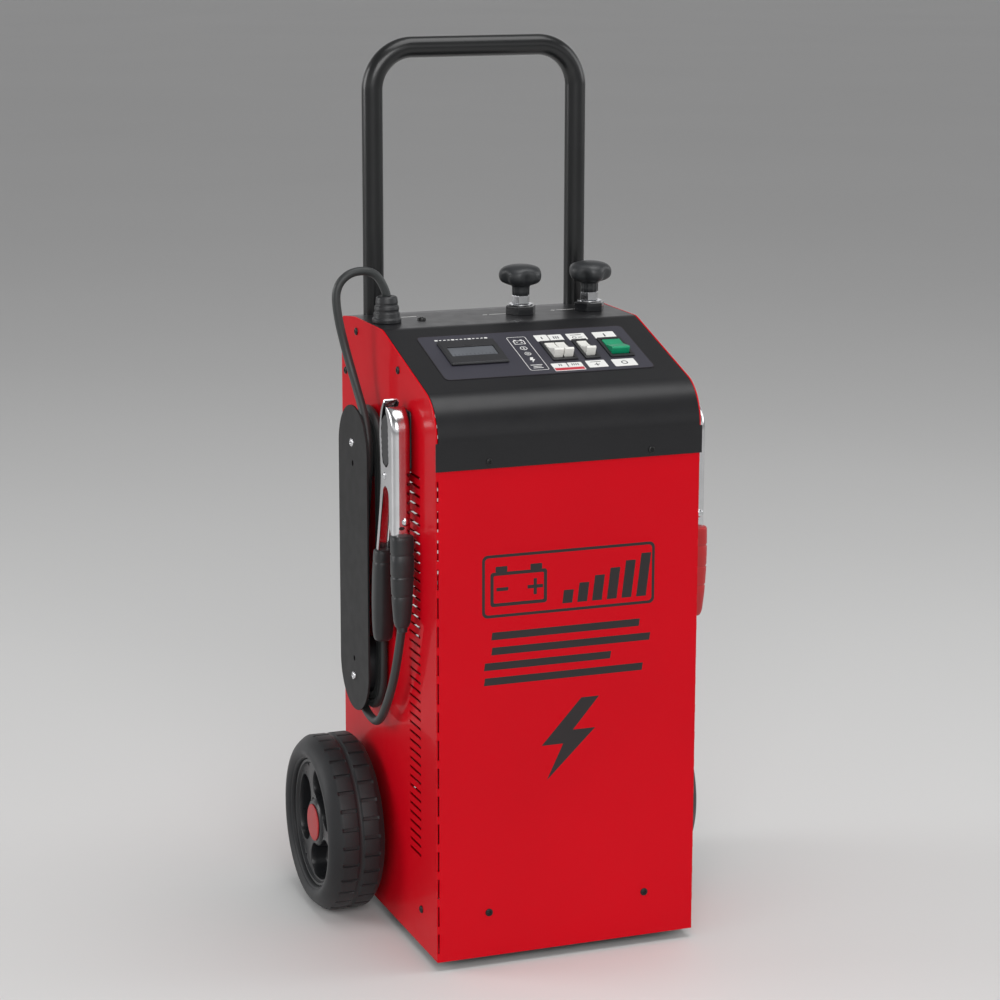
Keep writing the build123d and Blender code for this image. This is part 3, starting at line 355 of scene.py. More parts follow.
def loft(bm, rings, cap=True):
    """rings of the same number of points (Vectors, metres)"""
    made = [[bm.verts.new(p) for p in ring] for ring in rings]
    n = len(made[0])
    for a, b in zip(made, made[1:]):
        for i in range(n):
            j = (i + 1) % n
            bm.faces.new((a[i], a[j], b[j], b[i]))
    if cap:
        for ring in (made[0], made[-1]):
            mid = bm.verts.new(sum((v.co for v in ring), Vector()) / n)
            for i in range(n):
                bm.faces.new((ring[i], ring[(i + 1) % n], mid))
    return made


def slab(bm, outline, to_world, h0, h1, chamfer=0.0, holes=()):
    """a thin flat shape: outline in plane coordinates (mm), raised from h0 to h1"""
    n = len(outline)
    low = [bm.verts.new(to_world(x, y, h0)) for x, y in outline]
    if chamfer:
        cx = sum(p[0] for p in outline) / n
        cy = sum(p[1] for p in outline) / n
        mid = [bm.verts.new(to_world(x, y, h1 - chamfer)) for x, y in outline]
        shrink = []
        for x, y in outline:
            d = math.hypot(x - cx, y - cy) or 1
            shrink.append((x - (x - cx) / d * chamfer, y - (y - cy) / d * chamfer))
        top = [bm.verts.new(to_world(x, y, h1)) for x, y in shrink]
        layers = [low, mid, top]
    else:
        top = [bm.verts.new(to_world(x, y, h1)) for x, y in outline]
        layers = [low, top]
    for a, b in zip(layers, layers[1:]):
        for i in range(n):
            j = (i + 1) % n
            bm.faces.new((a[i], a[j], b[j], b[i]))
    bm.faces.new(layers[-1])
    bm.faces.new(list(reversed(layers[0])))


def rounded_rect(cx, cy, w, h, r, steps=5):
    pts = []
    for sx, sy, a0 in ((1, 1, 0), (-1, 1, 90), (-1, -1, 180), (1, -1, 270)):
        for k in range(steps + 1):
            a = math.radians(a0 + 90 * k / steps)
            pts.append((cx + sx * (w / 2 - r) + r * math.cos(a), cy + sy * (h / 2 - r) + r * math.sin(a)))
    return pts


def frame_strip(bm, outer, inner, to_world, h0, h1):
    """a flat frame between two outlines with the same number of points"""
    n = len(outer)
    vs = [[bm.verts.new(to_world(x, y, h)) for x, y in ring] for ring, h in ((outer, h0), (outer, h1), (inner, h1), (inner, h0))]
    for a, b in zip(vs, vs[1:] + vs[:1]):
        for i in range(n):
            j = (i + 1) % n
            bm.faces.new((a[i], a[j], b[j], b[i]))


# ------------------------------------------------------------------ the negative lead
UPPER = [(-124.6, 53.55, 669.5), (-127.0, 53.55, 680), (-139.5, 53.55, 697.0), (-164.5, 53.55, 697.6), (-181.5, 53.55, 681.5),
         (-180.3, 51.55, 652), (-172.3, 48.55, 615), (-165.2, 34.55, 577), (-162.0, 11.55, 543)]
LOWER = [(-159.65, 39.5, 227), (-159.65, 17.5, 218.5), (-159.65, -17.0, 219.5), (-159.65, -50.5, 256),
         (-159.65, -77.5, 298), (-159.65, -94.95, 346)]
TC, Z_LO, Z_HI = 37.55, 271.0, 508.0           # bobbin centres
LANE_A, LANE_B = -151.0, -161.6                # beside the cabinet, beside the plate


def bend(cz, r, angles, x):
    rc = r / math.cos(math.radians(18))
    return [(x, TC + rc * math.cos(math.radians(a)), cz + rc * math.sin(math.radians(a))) for a in angles]


coil = [(LANE_B, 2.4, 512), (-161.2, 17, 455), (-157.6, 39, 380), (-152.8, 61, 308)]
coil += bend(Z_LO, 34.2, (-18, -54, -90, -126, -162), LANE_A)
coil += [(LANE_A, 3.0, 330), (LANE_A, 2.4, 400), (LANE_A, 3.1, 462)]
coil += bend(Z_HI, 34.2, (162, 126, 90, 54, 18), LANE_A)
coil += [(LANE_A, 73.0, 470), (LANE_A, 77.6, 410), (LANE_A, 81.2, 340)]
coil += bend(Z_LO, 43.6, (-18, -54, -90, -126, -162), LANE_A)
coil += [(LANE_A, -6.6, 330), (LANE_A, -7.2, 400), (LANE_A, -6.3, 462)]
coil += bend(Z_HI, 43.6, (162, 126, 90, 54, 18), LANE_A)
coil += [(-155.0, 81.2, 480), (LANE_B, 81.9, 440), (LANE_B, 82.2, 370), (LANE_B, 81.6, 310)]
coil += bend(Z_LO, 43.6, (-18, -54), LANE_B)

route = UPPER + coil + LOWER
lead_curve = bpy.data.curves.new("negative_lead", "CURVE")
lead_curve.dimensions = "3D"
sp = lead_curve.splines.new("NURBS")
sp.points.add(len(route) - 1)
for p, q in zip(sp.points, route):
    p.co = (q[0] * MM, q[1] * MM, (q[2] + LIFT) * MM, 1.0)
sp.order_u = 3
sp.use_endpoint_u = True
sp.resolution_u = 10
lead_curve.bevel_depth = 4.6 * MM
lead_curve.bevel_resolution = 8
lead_curve.use_fill_caps = True
lead = bpy.data.objects.new("negative_lead", lead_curve)
bpy.context.scene.collection.objects.link(lead)
lead_curve.materials.append(CABLE)
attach(lead, "cabinet")
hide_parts("lead_upper", "lead_coil", "lead_lower")

# ------------------------------------------------------------------ floor and light
floor_bm = bmesh.new()
bmesh.ops.create_grid(floor_bm, x_segments=24, y_segments=24, size=40.0)
floor_mesh = bpy.data.meshes.new("floor")
floor_bm.to_mesh(floor_mesh)
floor_bm.free()
floor = bpy.data.objects.new("floor", floor_mesh)
bpy.context.scene.collection.objects.link(floor)
floor.location = (0, 1.0, -0.0004)
floor_mesh.materials.append(material("floor_pale", lin("#d9d9d8"), rough=0.62, dark=0.985, light=1.01, tone_scale=0.8,
                                     rough_span=0.04, bump=0.05, bump_scale=80, bump_mm=0.1))


def softbox(name, loc, target, size_x, size_y, power, color=(1, 1, 1)):
    ld = bpy.data.lights.new(name, "AREA")
    ld.shape = "RECTANGLE"
    ld.size, ld.size_y = size_x, size_y
    ld.energy = power
    ld.color = color
    o = bpy.data.objects.new(name, ld)
    bpy.context.scene.collection.objects.link(o)
    o.location = loc
    o.rotation_mode = "QUATERNION"
    o.rotation_quaternion = (Vector(target) - Vector(loc)).to_track_quat("-Z", "Y")
    return o


softbox("key_front", (-0.9, -3.6, 2.2), (0, 0, 0.45), 2.4, 1.6, 62)
softbox("top", (0.3, -0.5, 3.2), (0, 0, 0.5), 2.4, 1.8, 40)
softbox("side_left", (-3.0, 1.3, 1.5), (0, 0, 0.5), 1.3, 1.8, 34)
softbox("side_right", (3.0, -0.6, 1.8), (0, 0, 0.5), 1.6, 2.0, 20)

bpy.context.scene.view_settings.view_transform = "Standard"
bpy.context.scene.view_settings.look = "None"

world = bpy.data.worlds.new("studio")
bpy.context.scene.world = world
world.use_nodes = True
wn = world.node_tree
wn.nodes.clear()
w_out = wn.nodes.new("ShaderNodeOutputWorld")
w_bg = wn.nodes.new("ShaderNodeBackground")
w_tc = wn.nodes.new("ShaderNodeTexCoord")
w_sep = wn.nodes.new("ShaderNodeSeparateXYZ")
w_ramp = wn.nodes.new("ShaderNodeValToRGB")
wn.links.new(w_tc.outputs["Generated"], w_sep.inputs[0])
w_map = wn.nodes.new("ShaderNodeMapRange")
w_map.inputs["From Min"].default_value = -1.0
wn.links.new(w_sep.outputs["Z"], w_map.inputs["Value"])
wn.links.new(w_map.outputs["Result"], w_ramp.inputs["Fac"])
cr = w_ramp.color_ramp
cr.elements[0].position, cr.elements[0].color = 0.0, (0.60, 0.60, 0.60, 1)
cr.elements[1].position, cr.elements[1].color = 1.0, (0.50, 0.50, 0.51, 1)
for pos, val in ((0.48, 0.62), (0.52, 0.95), (0.60, 0.90), (0.68, 0.45), (0.80, 0.22), (0.90, 0.26)):
    e = cr.elements.new(pos)
    e.color = (val, val, val * 1.01, 1)
wn.links.new(w_ramp.outputs["Color"], w_bg.inputs["Color"])
w_bg.inputs["Strength"].default_value = 0.85
wn.links.new(w_bg.outputs[0], w_out.inputs[0])

# ------------------------------------------------------------------ sheet-metal cabinet
def outside_slots(e):
    """everything but the punched cooling slots and fold-line cuts"""
    m = (e.verts[0].co + e.verts[1].co) / 2
    y, z = m.y / MM - YF, m.z / MM - LIFT
    cooling = abs(m.x) / MM > 143 and 49 < y < 89.5 and 90 < z < 516
    fold = abs(m.x) / MM > 141 and y < 3.4 and 6 < z < 545
    return not (cooling or fold)


refined("body_wrap", 0.3, RED, segs=2, dissolve=0, pick=outside_slots)
refined("rear_panel", 0.3, RED, segs=2, dissolve=0)
refined("base_pan", 0.3, HOOD, segs=2, dissolve=0)
refined("top_hood", 0.35, HOOD, segs=2, dissolve=0)


# ------------------------------------------------------------------ push handle: bent tube, open ends inside the cabinet
def tube_path(pts, bend_r, step=4.0):
    pts = [Vector(p) for p in pts]
    out = [pts[0]]
    for a, b, c in zip(pts, pts[1:], pts[2:]):
        u, w = (a - b).normalized(), (c - b).normalized()
        ang = math.acos(max(-1, min(1, u.dot(w))))
        t = bend_r / math.tan(ang / 2)
        s, e = b + u * t, b + w * t
        centre = b + (u + w).normalized() * (bend_r / math.sin(ang / 2))
        turn = math.pi - ang
        n = max(8, int(turn * bend_r / step))
        a0 = (s - centre)
        a1 = (e - centre)
        for k in range(n + 1):
            f = k / n
            wa, wb = math.sin((1 - f) * turn) / math.sin(turn), math.sin(f * turn) / math.sin(turn)
            out.append(centre + a0 * wa + a1 * wb)
    out.append(pts[-1])
    return out


def tube(bm, path, radius, segs=40, wall=0.0):
    """round tube along path (mm Vectors), made with parallel-transported rings"""
    tangents = []
    for i in range(len(path)):
        a = path[max(0, i - 1)]
        b = path[min(len(path) - 1, i + 1)]
        tangents.append((b - a).normalized())
    side = tangents[0].orthogonal().normalized()
    rings, inner = [], []
    for p, t in zip(path, tangents):
        side = (side - t * side.dot(t)).normalized()
        up = t.cross(side)
        rings.append([v3(*(p + (side * math.cos(2 * math.pi * k / segs) + up * math.sin(2 * math.pi * k / segs)) * radius)) for k in range(segs)])
        inner.append([v3(*(p + (side * math.cos(2 * math.pi * k / segs) + up * math.sin(2 * math.pi * k / segs)) * (radius - wall))) for k in range(segs)])
    if not wall:
        loft(bm, rings, cap=True)
        return
    o = [[bm.verts.new(p) for p in r] for r in rings]
    i_ = [[bm.verts.new(p) for p in r] for r in inner]
    for a, b in list(zip(o, o[1:])) + [(i2, i1) for i1, i2 in zip(i_, i_[1:])] + [(i_[0], o[0]), (o[-1], i_[-1])]:
        for k in range(segs):
            j = (k + 1) % segs
            bm.faces.new((a[k], a[j], b[j], b[k]))


bm = bmesh.new()
HX, HY, HZ = 117.0, 121.55, 925.7
tube(bm, tube_path([(-HX, HY, 430), (-HX, HY, HZ), (HX, HY, HZ), (HX, HY, 430)], 45.0, 2.5), 11.25, 48, 1.8)
from_bm("push_handle", bm, "cabinet", TUBE, ("handle",), sharp=60)


# ------------------------------------------------------------------ wheels
WHEEL_Y, HUB_R = YF + 231.4, 70.6


def tyre(side):
    """side is -1 on the left, +1 on the right; profile given from the outer face inwards"""
    prof = [(61.4, HUB_R), (62.1, 71.2), (62.4, 72.4), (62.5, 84.0), (62.1, 86.4), (60.8, 89.2), (58.6, 91.8), (56.4, 94.0), (54.8, 95.4),
            (53.6, 96.2), (52.6, 96.5), (46.0, 96.5), (37.4, 96.5), (36.4, 96.2), (35.6, 95.2), (34.8, 94.8), (32.0, 94.8), (31.2, 95.2),
            (30.4, 96.2), (29.4, 96.5), (22.0, 96.5), (14.8, 96.5), (13.5, 96.2), (12.2, 95.6), (10.4, 94.4), (7.6, 92.4), (5.0, 90.1),
            (2.9, 87.8), (1.3, 85.3), (0.4, 83.2), (0.05, 81.2), (0.2, 79.2), (1.0, 77.0), (2.2, 75.0), (3.2, 73.7), (3.9, 73.3), (4.1, 72.6),
            (4.9, 71.6), (6.2, 70.9), (8.0, HUB_R + 0.05), (30.0, HUB_R), (57.0, HUB_R)]
    band_b = set(range(9, 13))       # inner band of blocks
    band_a = set(range(19, 23))      # outer band of blocks
    pitch = 12.0
    stops = [-1.35, -1.0, 1.0, 1.35, 2.9, 4.65, 5.0, 7.0, 7.35, 9.0]
    bm = bmesh.new()
    rings = []
    for k in range(30):
        for a in stops:
            deg = k * pitch + a
            t = math.radians(deg)
            ring = []
            for i, (d, r) in enumerate(prof):
                rr = r
                if i in band_a and -1.01 <= a <= 1.01:
                    rr = min(r, 94.8)
                if i in band_b and 4.99 <= a <= 7.01:
                    rr = min(r, 94.8)
                x = side * (216.5 - d)
                ring.append(bm.verts.new(v3(x, WHEEL_Y + rr * math.cos(t), 86.5 + rr * math.sin(t))))
            rings.append(ring)
    n = len(prof)
    for a, b in zip(rings, rings[1:] + rings[:1]):
        for i in range(n):
            j = (i + 1) % n
            bm.faces.new((a[i], a[j], b[j], b[i]))
    tag = "left" if side < 0 else "right"
    return from_bm("tyre_tread_" + tag, bm, "wheel_" + tag, TYRE, ("tyre_" + tag,), sharp=38)


def wheel_hub(tag):
    """moulded hub: dished face with three kidney pockets, raised rim and boss, hollow back"""
    side = -1 if tag == "left" else 1
    XH, XI = 208.5, 154.0
    FACE = XH - 3.0
    bm = bmesh.new()

    def at(x, r, t):
        return v3(side * x, WHEEL_Y - r * math.cos(t), 86.5 + r * math.sin(t))

    # turned parts: (x, r) from the face's edge over the rim to the back, and the boss
    rim = [(FACE - 1.0, 65.1), (FACE, 65.4), (FACE + 0.5, 65.75), (XH - 1.2, 66.6), (XH - 0.35, 67.0), (XH, 67.6), (XH, 69.6), (XH - 0.5, 70.3), (XH - 1.2, 70.5),
           (XI + 0.6, 70.5), (XI, 69.9), (XI, 64.6), (XI + 0.6, 64.0), (XI + 24, 62.0), (XI + 24, 28.0), (XI + 0.6, 26.0), (XI, 25.4),
           (XI, 9.0), (XI + 0.6, 8.1), (XH - 15, 8.1), (XH - 15, 13.8), (XH - 1.0, 14.0), (XH - 0.6, 14.4), (XH - 0.6, 23.4), (XH - 1.0, 24.1), (FACE + 0.4, 25.8),
           (FACE, 26.15), (FACE - 1.0, 26.4)]
    n = 144
    rings = [[bm.verts.new(at(x, r, 2 * math.pi * k / n)) for k in range(n)] for x, r in rim]
    for a, b in zip(rings, rings[1:]):
        for k in range(n):
            j = (k + 1) % n
            bm.faces.new((a[k], a[j], b[j], b[k]))

    # face and pockets, one third of a turn each
    R0, RC, R1, HALF, CAPR = 26.0, 44.8, 65.6, math.radians(26), 18.5
    for mid in (53, 173, 293):
        t0 = math.radians(mid)

        def skeleton():
            """(centre radius, angle, direction) round the pocket, counter-clockwise from the outer side"""
            out = []
            for k in range(17):
                a = -HALF + 2 * HALF * k / 16
                out.append((a, a))
            for k in range(1, 20):
                out.append((HALF, HALF + math.pi * k / 20))
            for k in range(17):
                a = HALF - 2 * HALF * k / 16
                out.append((a, a + math.pi))
            for k in range(1, 20):
                out.append((-HALF, -HALF + math.pi + math.pi * k / 20))
            return out

        def edge_of_cell(a, d):
            """where a ray from the pocket's spine leaves this third of the face"""
            px, py = RC * math.cos(a), RC * math.sin(a)
            dx, dy = math.cos(d), math.sin(d)
            s0, s1 = 0.0, 80.0

            def inside(s):
                x, y = px + dx * s, py + dy * s
                r, w = math.hypot(x, y), math.atan2(y, x)
                return R0 <= r <= R1 and abs(w) <= math.pi / 3
            lo, hi = 0.0, None
            s = 0.0
            while inside(s):
                lo = s
                s += 0.5
            hi = s
            for _ in range(30):
                m = (lo + hi) / 2
                if inside(m):
                    lo = m
                else:
                    hi = m
            return math.hypot(px + dx * lo, py + dy * lo), math.atan2(py + dy * lo, px + dx * lo)

        # inset from the pocket's outline, depth below the face
        levels = [(0.0 - 0.9, 0.0), (-0.55, 0.08), (-0.2, 0.35), (0.0, 0.9), (0.5, 6.0), (1.4, 16.0), (1.8, 18.0), (2.8, 19.4), (4.4, 20.0)]
        loops = [[bm.verts.new(at(FACE, r, t0 + w)) for r, w in (edge_of_cell(a, d) for a, d in skeleton())]]
        for inset, depth in levels:
            loop = []
            for a, d in skeleton():
                x = RC * math.cos(a) + math.cos(d) * (CAPR - inset)
                y = RC * math.sin(a) + math.sin(d) * (CAPR - inset)
                loop.append(bm.verts.new(at(FACE - depth, math.hypot(x, y), t0 + math.atan2(y, x))))
            loops.append(loop)
        m = len(loops[0])
        for a, b in zip(loops, loops[1:]):
            for k in range(m):
                j = (k + 1) % m
                bm.faces.new((a[k], a[j], b[j], b[k]))
        bm.faces.new(loops[-1])
    bmesh.ops.remove_doubles(bm, verts=bm.verts, dist=2e-6)
    bmesh.ops.dissolve_degenerate(bm, edges=bm.edges, dist=1e-7)
    bmesh.ops.triangulate(bm, faces=[f for f in bm.faces if len(f.verts) > 4])
    return from_bm("wheel_hub_" + tag + "_skin", bm, "wheel_" + tag, HUB, ("wheel_hub_" + tag,), sharp=34)


for side in (-1, 1):
    tyre(side)
for tag in ("left", "right"):
    wheel_hub(tag)
    refined("hub_cap_" + tag, 0.5, CAP, segs=3, angle=30, sharp=50)
N["push_nuts"].data.materials.clear()
N["push_nuts"].data.materials.append(ZINC)
N["axle"].data.materials.clear()
N["axle"].data.materials.append(ZINC)

# ------------------------------------------------------------------ control panel
refined("panel_overlay", 0.12, FILM, segs=1)
refined("meter_bezel", 0.5, BEZEL, segs=3)
refined("meter_window", 0.1, GLASS, segs=1)
for n in ("switch_frame_dual", "switch_frame_mode", "switch_frame_power"):
    refined(n, 0.3, BEZEL, segs=2)
for n in ("rocker_rate_low", "rocker_rate_high", "rocker_mode"):
    refined(n, 0.45, WHITE, segs=3, angle=12)
refined("rocker_power", 0.45, GREEN, segs=3, angle=12)

# printed labels: plain fields with generic marks
labels = bmesh.new()
H0, H1 = 0.30, 0.47


def on_slope(x, s, h):
    return slope_pt(x, s, h)


for x0, x1, s0, s1 in ((12, 26.5, 130.5, 145), (27.5, 42.8, 130.4, 144), (48, 69, 129, 144), (78, 102.5, 128.6, 144),
                       (7, 23.9, 70.2, 79), (25.1, 41, 70.2, 79), (46, 67.5, 65, 80.5), (75, 100.5, 64, 80)):
    slab(labels, rounded_rect((x0 + x1) / 2, (s0 + s1) / 2, x1 - x0, s1 - s0, 1.0, 3), on_slope, H0, H1)
slab(labels, rounded_rect(24, 65.9, 34, 8.2, 0.8, 3), on_slope, H0, H1)
from_bm("label_fields", labels, "cabinet", INK_WHITE)

marks = bmesh.new()
M0, M1 = 0.46, 0.56


def bar(bm, x, s, w, h, r=0.3, m0=M0, m1=M1):
    slab(bm, rounded_rect(x, s, w, h, min(r, w / 2.01, h / 2.01), 2), on_slope, m0, m1)


def ring_mark(bm, x, s, r, t, m0=M0, m1=M1, n=28):
    o = [(x + r * math.cos(2 * math.pi * k / n), s + r * math.sin(2 * math.pi * k / n)) for k in range(n)]
    i = [(x + (r - t) * math.cos(2 * math.pi * k / n), s + (r - t) * math.sin(2 * math.pi * k / n)) for k in range(n)]
    frame_strip(bm, o, i, on_slope, m0, m1)


bar(marks, 19.2, 137.8, 1.2, 5.4)                                   # one bar: low
for dx in (-2.4, 0, 2.4):
    bar(marks, 35.1 + dx, 137.2, 1.2, 5.4)                          # three bars: high
bar(marks, 58.5, 140.4, 12.5, 1.0)
ring_mark(marks, 55.2, 134.6, 2.4, 0.8)
bar(marks, 61.8, 134.6, 5.0, 1.1)
bar(marks, 90.2, 136.3, 1.5, 7.0)                                   # on
ring_mark(marks, 87.8, 72.0, 3.6, 1.1)                              # off
bar(marks, 15.4, 74.6, 1.0, 4.2), bar(marks, 17.6, 74.6, 1.0, 4.2)
for dx in (-3.3, -1.1, 1.1, 3.3):
    bar(marks, 33.0 + dx, 74.6, 1.0, 4.2)
bar(marks, 56.7, 77.0, 12.0, 0.9)
bar(marks, 56.7, 71.4, 6.0, 1.1), bar(marks, 56.7, 71.4, 1.1, 6.0)
from_bm("label_marks", marks, "cabinet", INK_DARK)

strip = bmesh.new()
slab(strip, rounded_rect(24, 65.7, 32.6, 5.4, 0.4, 2), on_slope, M0, M1)
from_bm("label_red_strip", strip, "cabinet", INK_RED)

# outlined column of generic pictograms and the line above the meter
pict = bmesh.new()
W0, W1 = 0.34, 0.46
frame_strip(pict, rounded_rect(-8.5, 105.2, 21.2, 77, 2.4, 4), rounded_rect(-8.5, 105.2, 20.0, 75.8, 1.9, 4), on_slope, W0, W1)
# battery outline with two posts
frame_strip(pict, rounded_rect(-8.5, 131, 12.5, 8.5, 0.8, 3), rounded_rect(-8.5, 131, 10.7, 6.7, 0.4, 3), on_slope, W0, W1)
bar(pict, -12, 136.3, 2.6, 1.8, 0.2, W0, W1), bar(pict, -5, 136.3, 2.6, 1.8, 0.2, W0, W1)
bar(pict, -11.2, 131, 2.6, 0.8, 0.1, W0, W1), bar(pict, -5.8, 131, 2.6, 0.8, 0.1, W0, W1), bar(pict, -5.8, 131, 0.8, 2.6, 0.1, W0, W1)
ring_mark(pict, -8.5, 117.4, 4.0, 0.8, W0, W1), bar(pict, -8.5, 117.4, 1.0, 4.0, 0.1, W0, W1)
ring_mark(pict, -8.5, 104.6, 3.6, 0.7, W0, W1), ring_mark(pict, -8.5, 104.6, 1.5, 0.7, W0, W1)
bolt = [(-9.6, 95.8), (-6.0, 95.8), (-7.6, 91.6), (-5.2, 91.6), (-10.4, 84.4), (-8.9, 89.8), (-11.3, 89.8)]
slab(pict, list(reversed(bolt)), on_slope, W0, W1)
for k, w in enumerate((13, 9, 11)):
    bar(pict, -8.5, 78.6 - 3.3 * k, w, 1.1, 0.2, W0, W1)
for k in range(13):                                                  # scale marks above the meter
    bar(pict, -96.0 + 4.6 * k, 146.2, 2.6 if k % 4 else 3.4, 1.5 if k % 4 else 2.6, 0.2, W0, W1)
from_bm("overlay_pictograms", pict, "cabinet", INK_WHITE)

# thin black strip round the overlay: painted shade of the overlay's edge groove
edge = bmesh.new()
frame_strip(edge, rounded_rect(1.0, 107, 233.0, 100.0, 6, 6), rounded_rect(1.0, 107, 231.0, 98.0, 5.2, 6), on_slope, 0.36, 0.45)
from_bm("overlay_edge_painted_shade", edge, "cabinet", INK_BLACK)

# meter: two-line segmented scale on the display and the latch in the bezel
lcd = bmesh.new()
for k in range(11):
    bar(lcd, -88.0 + 4.3 * k, 108.2, 0.5, 2.6 if k % 5 else 4.0, 0.1, 2.40, 2.50)
slab(lcd, rounded_rect(-66.5, 105.4, 44.5, 0.5, 0.1, 2), on_slope, 2.40, 2.50)
from_bm("meter_scale", lcd, "cabinet", INK_DARK)
latch = bmesh.new()
slab(latch, rounded_rect(-66.7, 126.6, 9.0, 2.4, 0.8, 3), on_slope, 3.4, 4.1, 0.3)
from_bm("meter_latch", latch, "cabinet", BEZEL)

# printed marks on the flat of the hood: a minus and a plus beside the posts
top = bmesh.new()


def on_top(x, y, h):
    return v3(x, y, 641.0 + h)


def tbar(x, y, w, d):
    slab(top, rounded_rect(x, y, w, d, 0.5, 2), on_top, -0.05, 0.09)


tbar(9.5, YF + 229, 26, 1.6), tbar(-8.5, YF + 229, 5, 1.6)
tbar(88.0, YF + 234, 22, 1.6), tbar(72.5, YF + 234, 5, 1.6), tbar(72.5, YF + 234, 1.6, 5)
tbar(-97, YF + 243, 30, 1.6)
from_bm("hood_marks", top, "cabinet", INK_WHITE)


# ------------------------------------------------------------------ front graphic: a generic battery pictogram in black
def on_front(x, z, h):
    return v3(x, YF - h, z)


art = bmesh.new()


def fslab(pts):
    slab(art, pts, on_front, -0.02, 0.07)


def fpoly(pts):
    fslab([(p[0], p[1]) for p in pts])


frame_strip(art, rounded_rect(-0.5, 399.5, 191, 66, 6, 6), rounded_rect(-0.5, 399.5, 185, 60, 4, 6), on_front, -0.02, 0.07)
# battery silhouette inside the frame
frame_strip(art, rounded_rect(-56, 396, 62, 36, 3, 4), rounded_rect(-56, 396, 55, 29, 1.5, 4), on_front, -0.02, 0.07)
fslab(rounded_rect(-75, 417, 13, 6, 1, 3)), fslab(rounded_rect(-37, 417, 13, 6, 1, 3))
fslab(rounded_rect(-74, 396, 13, 3.6, 0.6, 2))
cross = [(-46.5, 394.2), (-39.8, 394.2), (-39.8, 387.5), (-36.2, 387.5), (-36.2, 394.2), (-29.5, 394.2), (-29.5, 397.8), (-36.2, 397.8),
         (-36.2, 404.5), (-39.8, 404.5), (-39.8, 397.8), (-46.5, 397.8)]
fpoly(cross)
# rising level bars beside it
for k in range(6):
    x = -8 + 16.5 * k
    h = 14 + 6.4 * k
    fpoly([(x, 375), (x + 11, 375), (x + 11 + h * 0.12, 375 + h), (x + h * 0.12, 375 + h)])
# slanted stripes under the frame
for k, (z, w0, w1) in enumerate(((347, -86, 90), (331, -86, 90), (315, -94, 82), (299, -94, 82))):
    if k in (1, 3):
        fpoly([(w0, z - 4), (w1, z - 4), (w1 + 1.2, z + 4), (w0 + 1.2, z + 4)])
    else:
        fpoly([(w0, z - 4), (w1 - 24 * (k + 1) / 2, z - 4), (w1 - 24 * (k + 1) / 2 + 1.2, z + 4), (w0 + 1.2, z + 4)])
# lightning bolt
bolt2 = [(14, 272), (-30, 224), (-6, 224), (-24, 186), (30, 238), (5, 238), (34, 272)]
fpoly(bolt2)
from_bm("front_graphic", art, "cabinet", INK_BLACK)


# ------------------------------------------------------------------ output terminals
def ridged_neck(t, d, r):
    return 1.0 + 0.045 * math.cos(12 * t)


for tag, x, turn in (("left", 31.0, 0.0), ("right", 111.4, 36.0)):
    bm = bmesh.new()
    body = "terminal_knob_" + tag
    prof = [(661.8, 6.0), (661.8, 8.8), (662.2, 9.2), (666.0, 9.3), (670.4, 9.4), (671.4, 9.8), (672.2, 11.0), (673.2, 14.0), (674.4, 17.6), (675.8, 20.4),
            (677.6, 22.4), (679.8, 23.4), (682.4, 23.85), (685.0, 23.75), (687.4, 23.0), (689.6, 21.5), (691.4, 19.2), (692.8, 16.0), (693.8, 12.2),
            (694.4, 8.4), (694.7, 4.6), (694.8, 2.0)]
    phase = math.radians(270 + turn)

    def lobes(t, d, r, ph=phase):
        w = max(0.0, min(1.0, (r - 10.0) / 10.0)) if d > 672 else 0.0
        w = w * w * (3 - 2 * w)
        v = 0.5 + 0.5 * math.cos(5 * (t - ph))
        deep = 4.6 * max(0.0, min(1.0, (692.0 - d) / 10.0))
        lobe = (23.75 - deep * v ** 2.0) / 23.75
        neck = 1.0 + (0.03 * math.cos(12 * t) if d < 671.8 else 0.0)
        return neck * (1 - w) + lobe * w
    # angle 0 on +X, counted towards +Y
    c = v3(x, 61.55, 0)
    rings = []
    SEG = 120
    for d, r in prof:
        rings.append([c + Vector((math.cos(2 * math.pi * k / SEG), math.sin(2 * math.pi * k / SEG), 0)) * (r * lobes(2 * math.pi * k / SEG, d, r) * MM)
                      + Vector((0, 0, d * MM)) for k in range(SEG)])
    loft(bm, rings, cap=True)
    from_bm("knob_" + tag, bm, body, KNOB, ("terminal_knob_" + tag,), sharp=50)
    refined("terminal_nut_" + tag, 0.35, CHROME_TURNED, segs=2, angle=25)
    refined("terminal_washer_" + tag, 0.25, CHROME_TURNED, segs=2)
refined("terminal_bases", 0.8, TERM_BASE, segs=2, angle=25)
N["terminal_studs"].data.materials.clear()
N["terminal_studs"].data.materials.append(ZINC)

# ------------------------------------------------------------------ glands
bm = bmesh.new()
gprof = round_profile([(629, 0.5), (629, 11), (640.6, 11), (641.05, 15.6), (645.2, 15.6), (647.0, 14.1), (651.5, 13.8), (652.6, 12.9), (654.6, 12.9),
                       (655.6, 13.3), (658.8, 12.9), (659.8, 11.8), (661.6, 11.7), (662.4, 12.1), (668.2, 11.2), (669.4, 9.6), (669.4, 4.7), (664, 4.7)], 1.2, 4)
lathe(bm, [(d, r) for d, r in gprof], (-124.6, 53.55, 0), (0, 0, 1), 64, close_start=True, close_end=True)
p2 = [(8 - 16.0, 4.9), (28.5, 4.9), (28.5, 10), (27.7, 10.9), (21.4, 11.4), (20.6, 11.9), (18.4, 12.1), (17.6, 12.9), (14.2, 13.1), (13.2, 13.0), (10.6, 13.7),
      (6, 14.0), (4.5, 15.4), (0.05, 15.4), (0.05, 11), (-8, 11), (-8, 4.9)]
lathe(bm, round_profile(p2, 0.9, 3), (145, YF + 285, 480), (1, 0, 0), 64)
from_bm("cord_glands", bm, "cabinet", BLACK, ("lead_glands",), sharp=45)
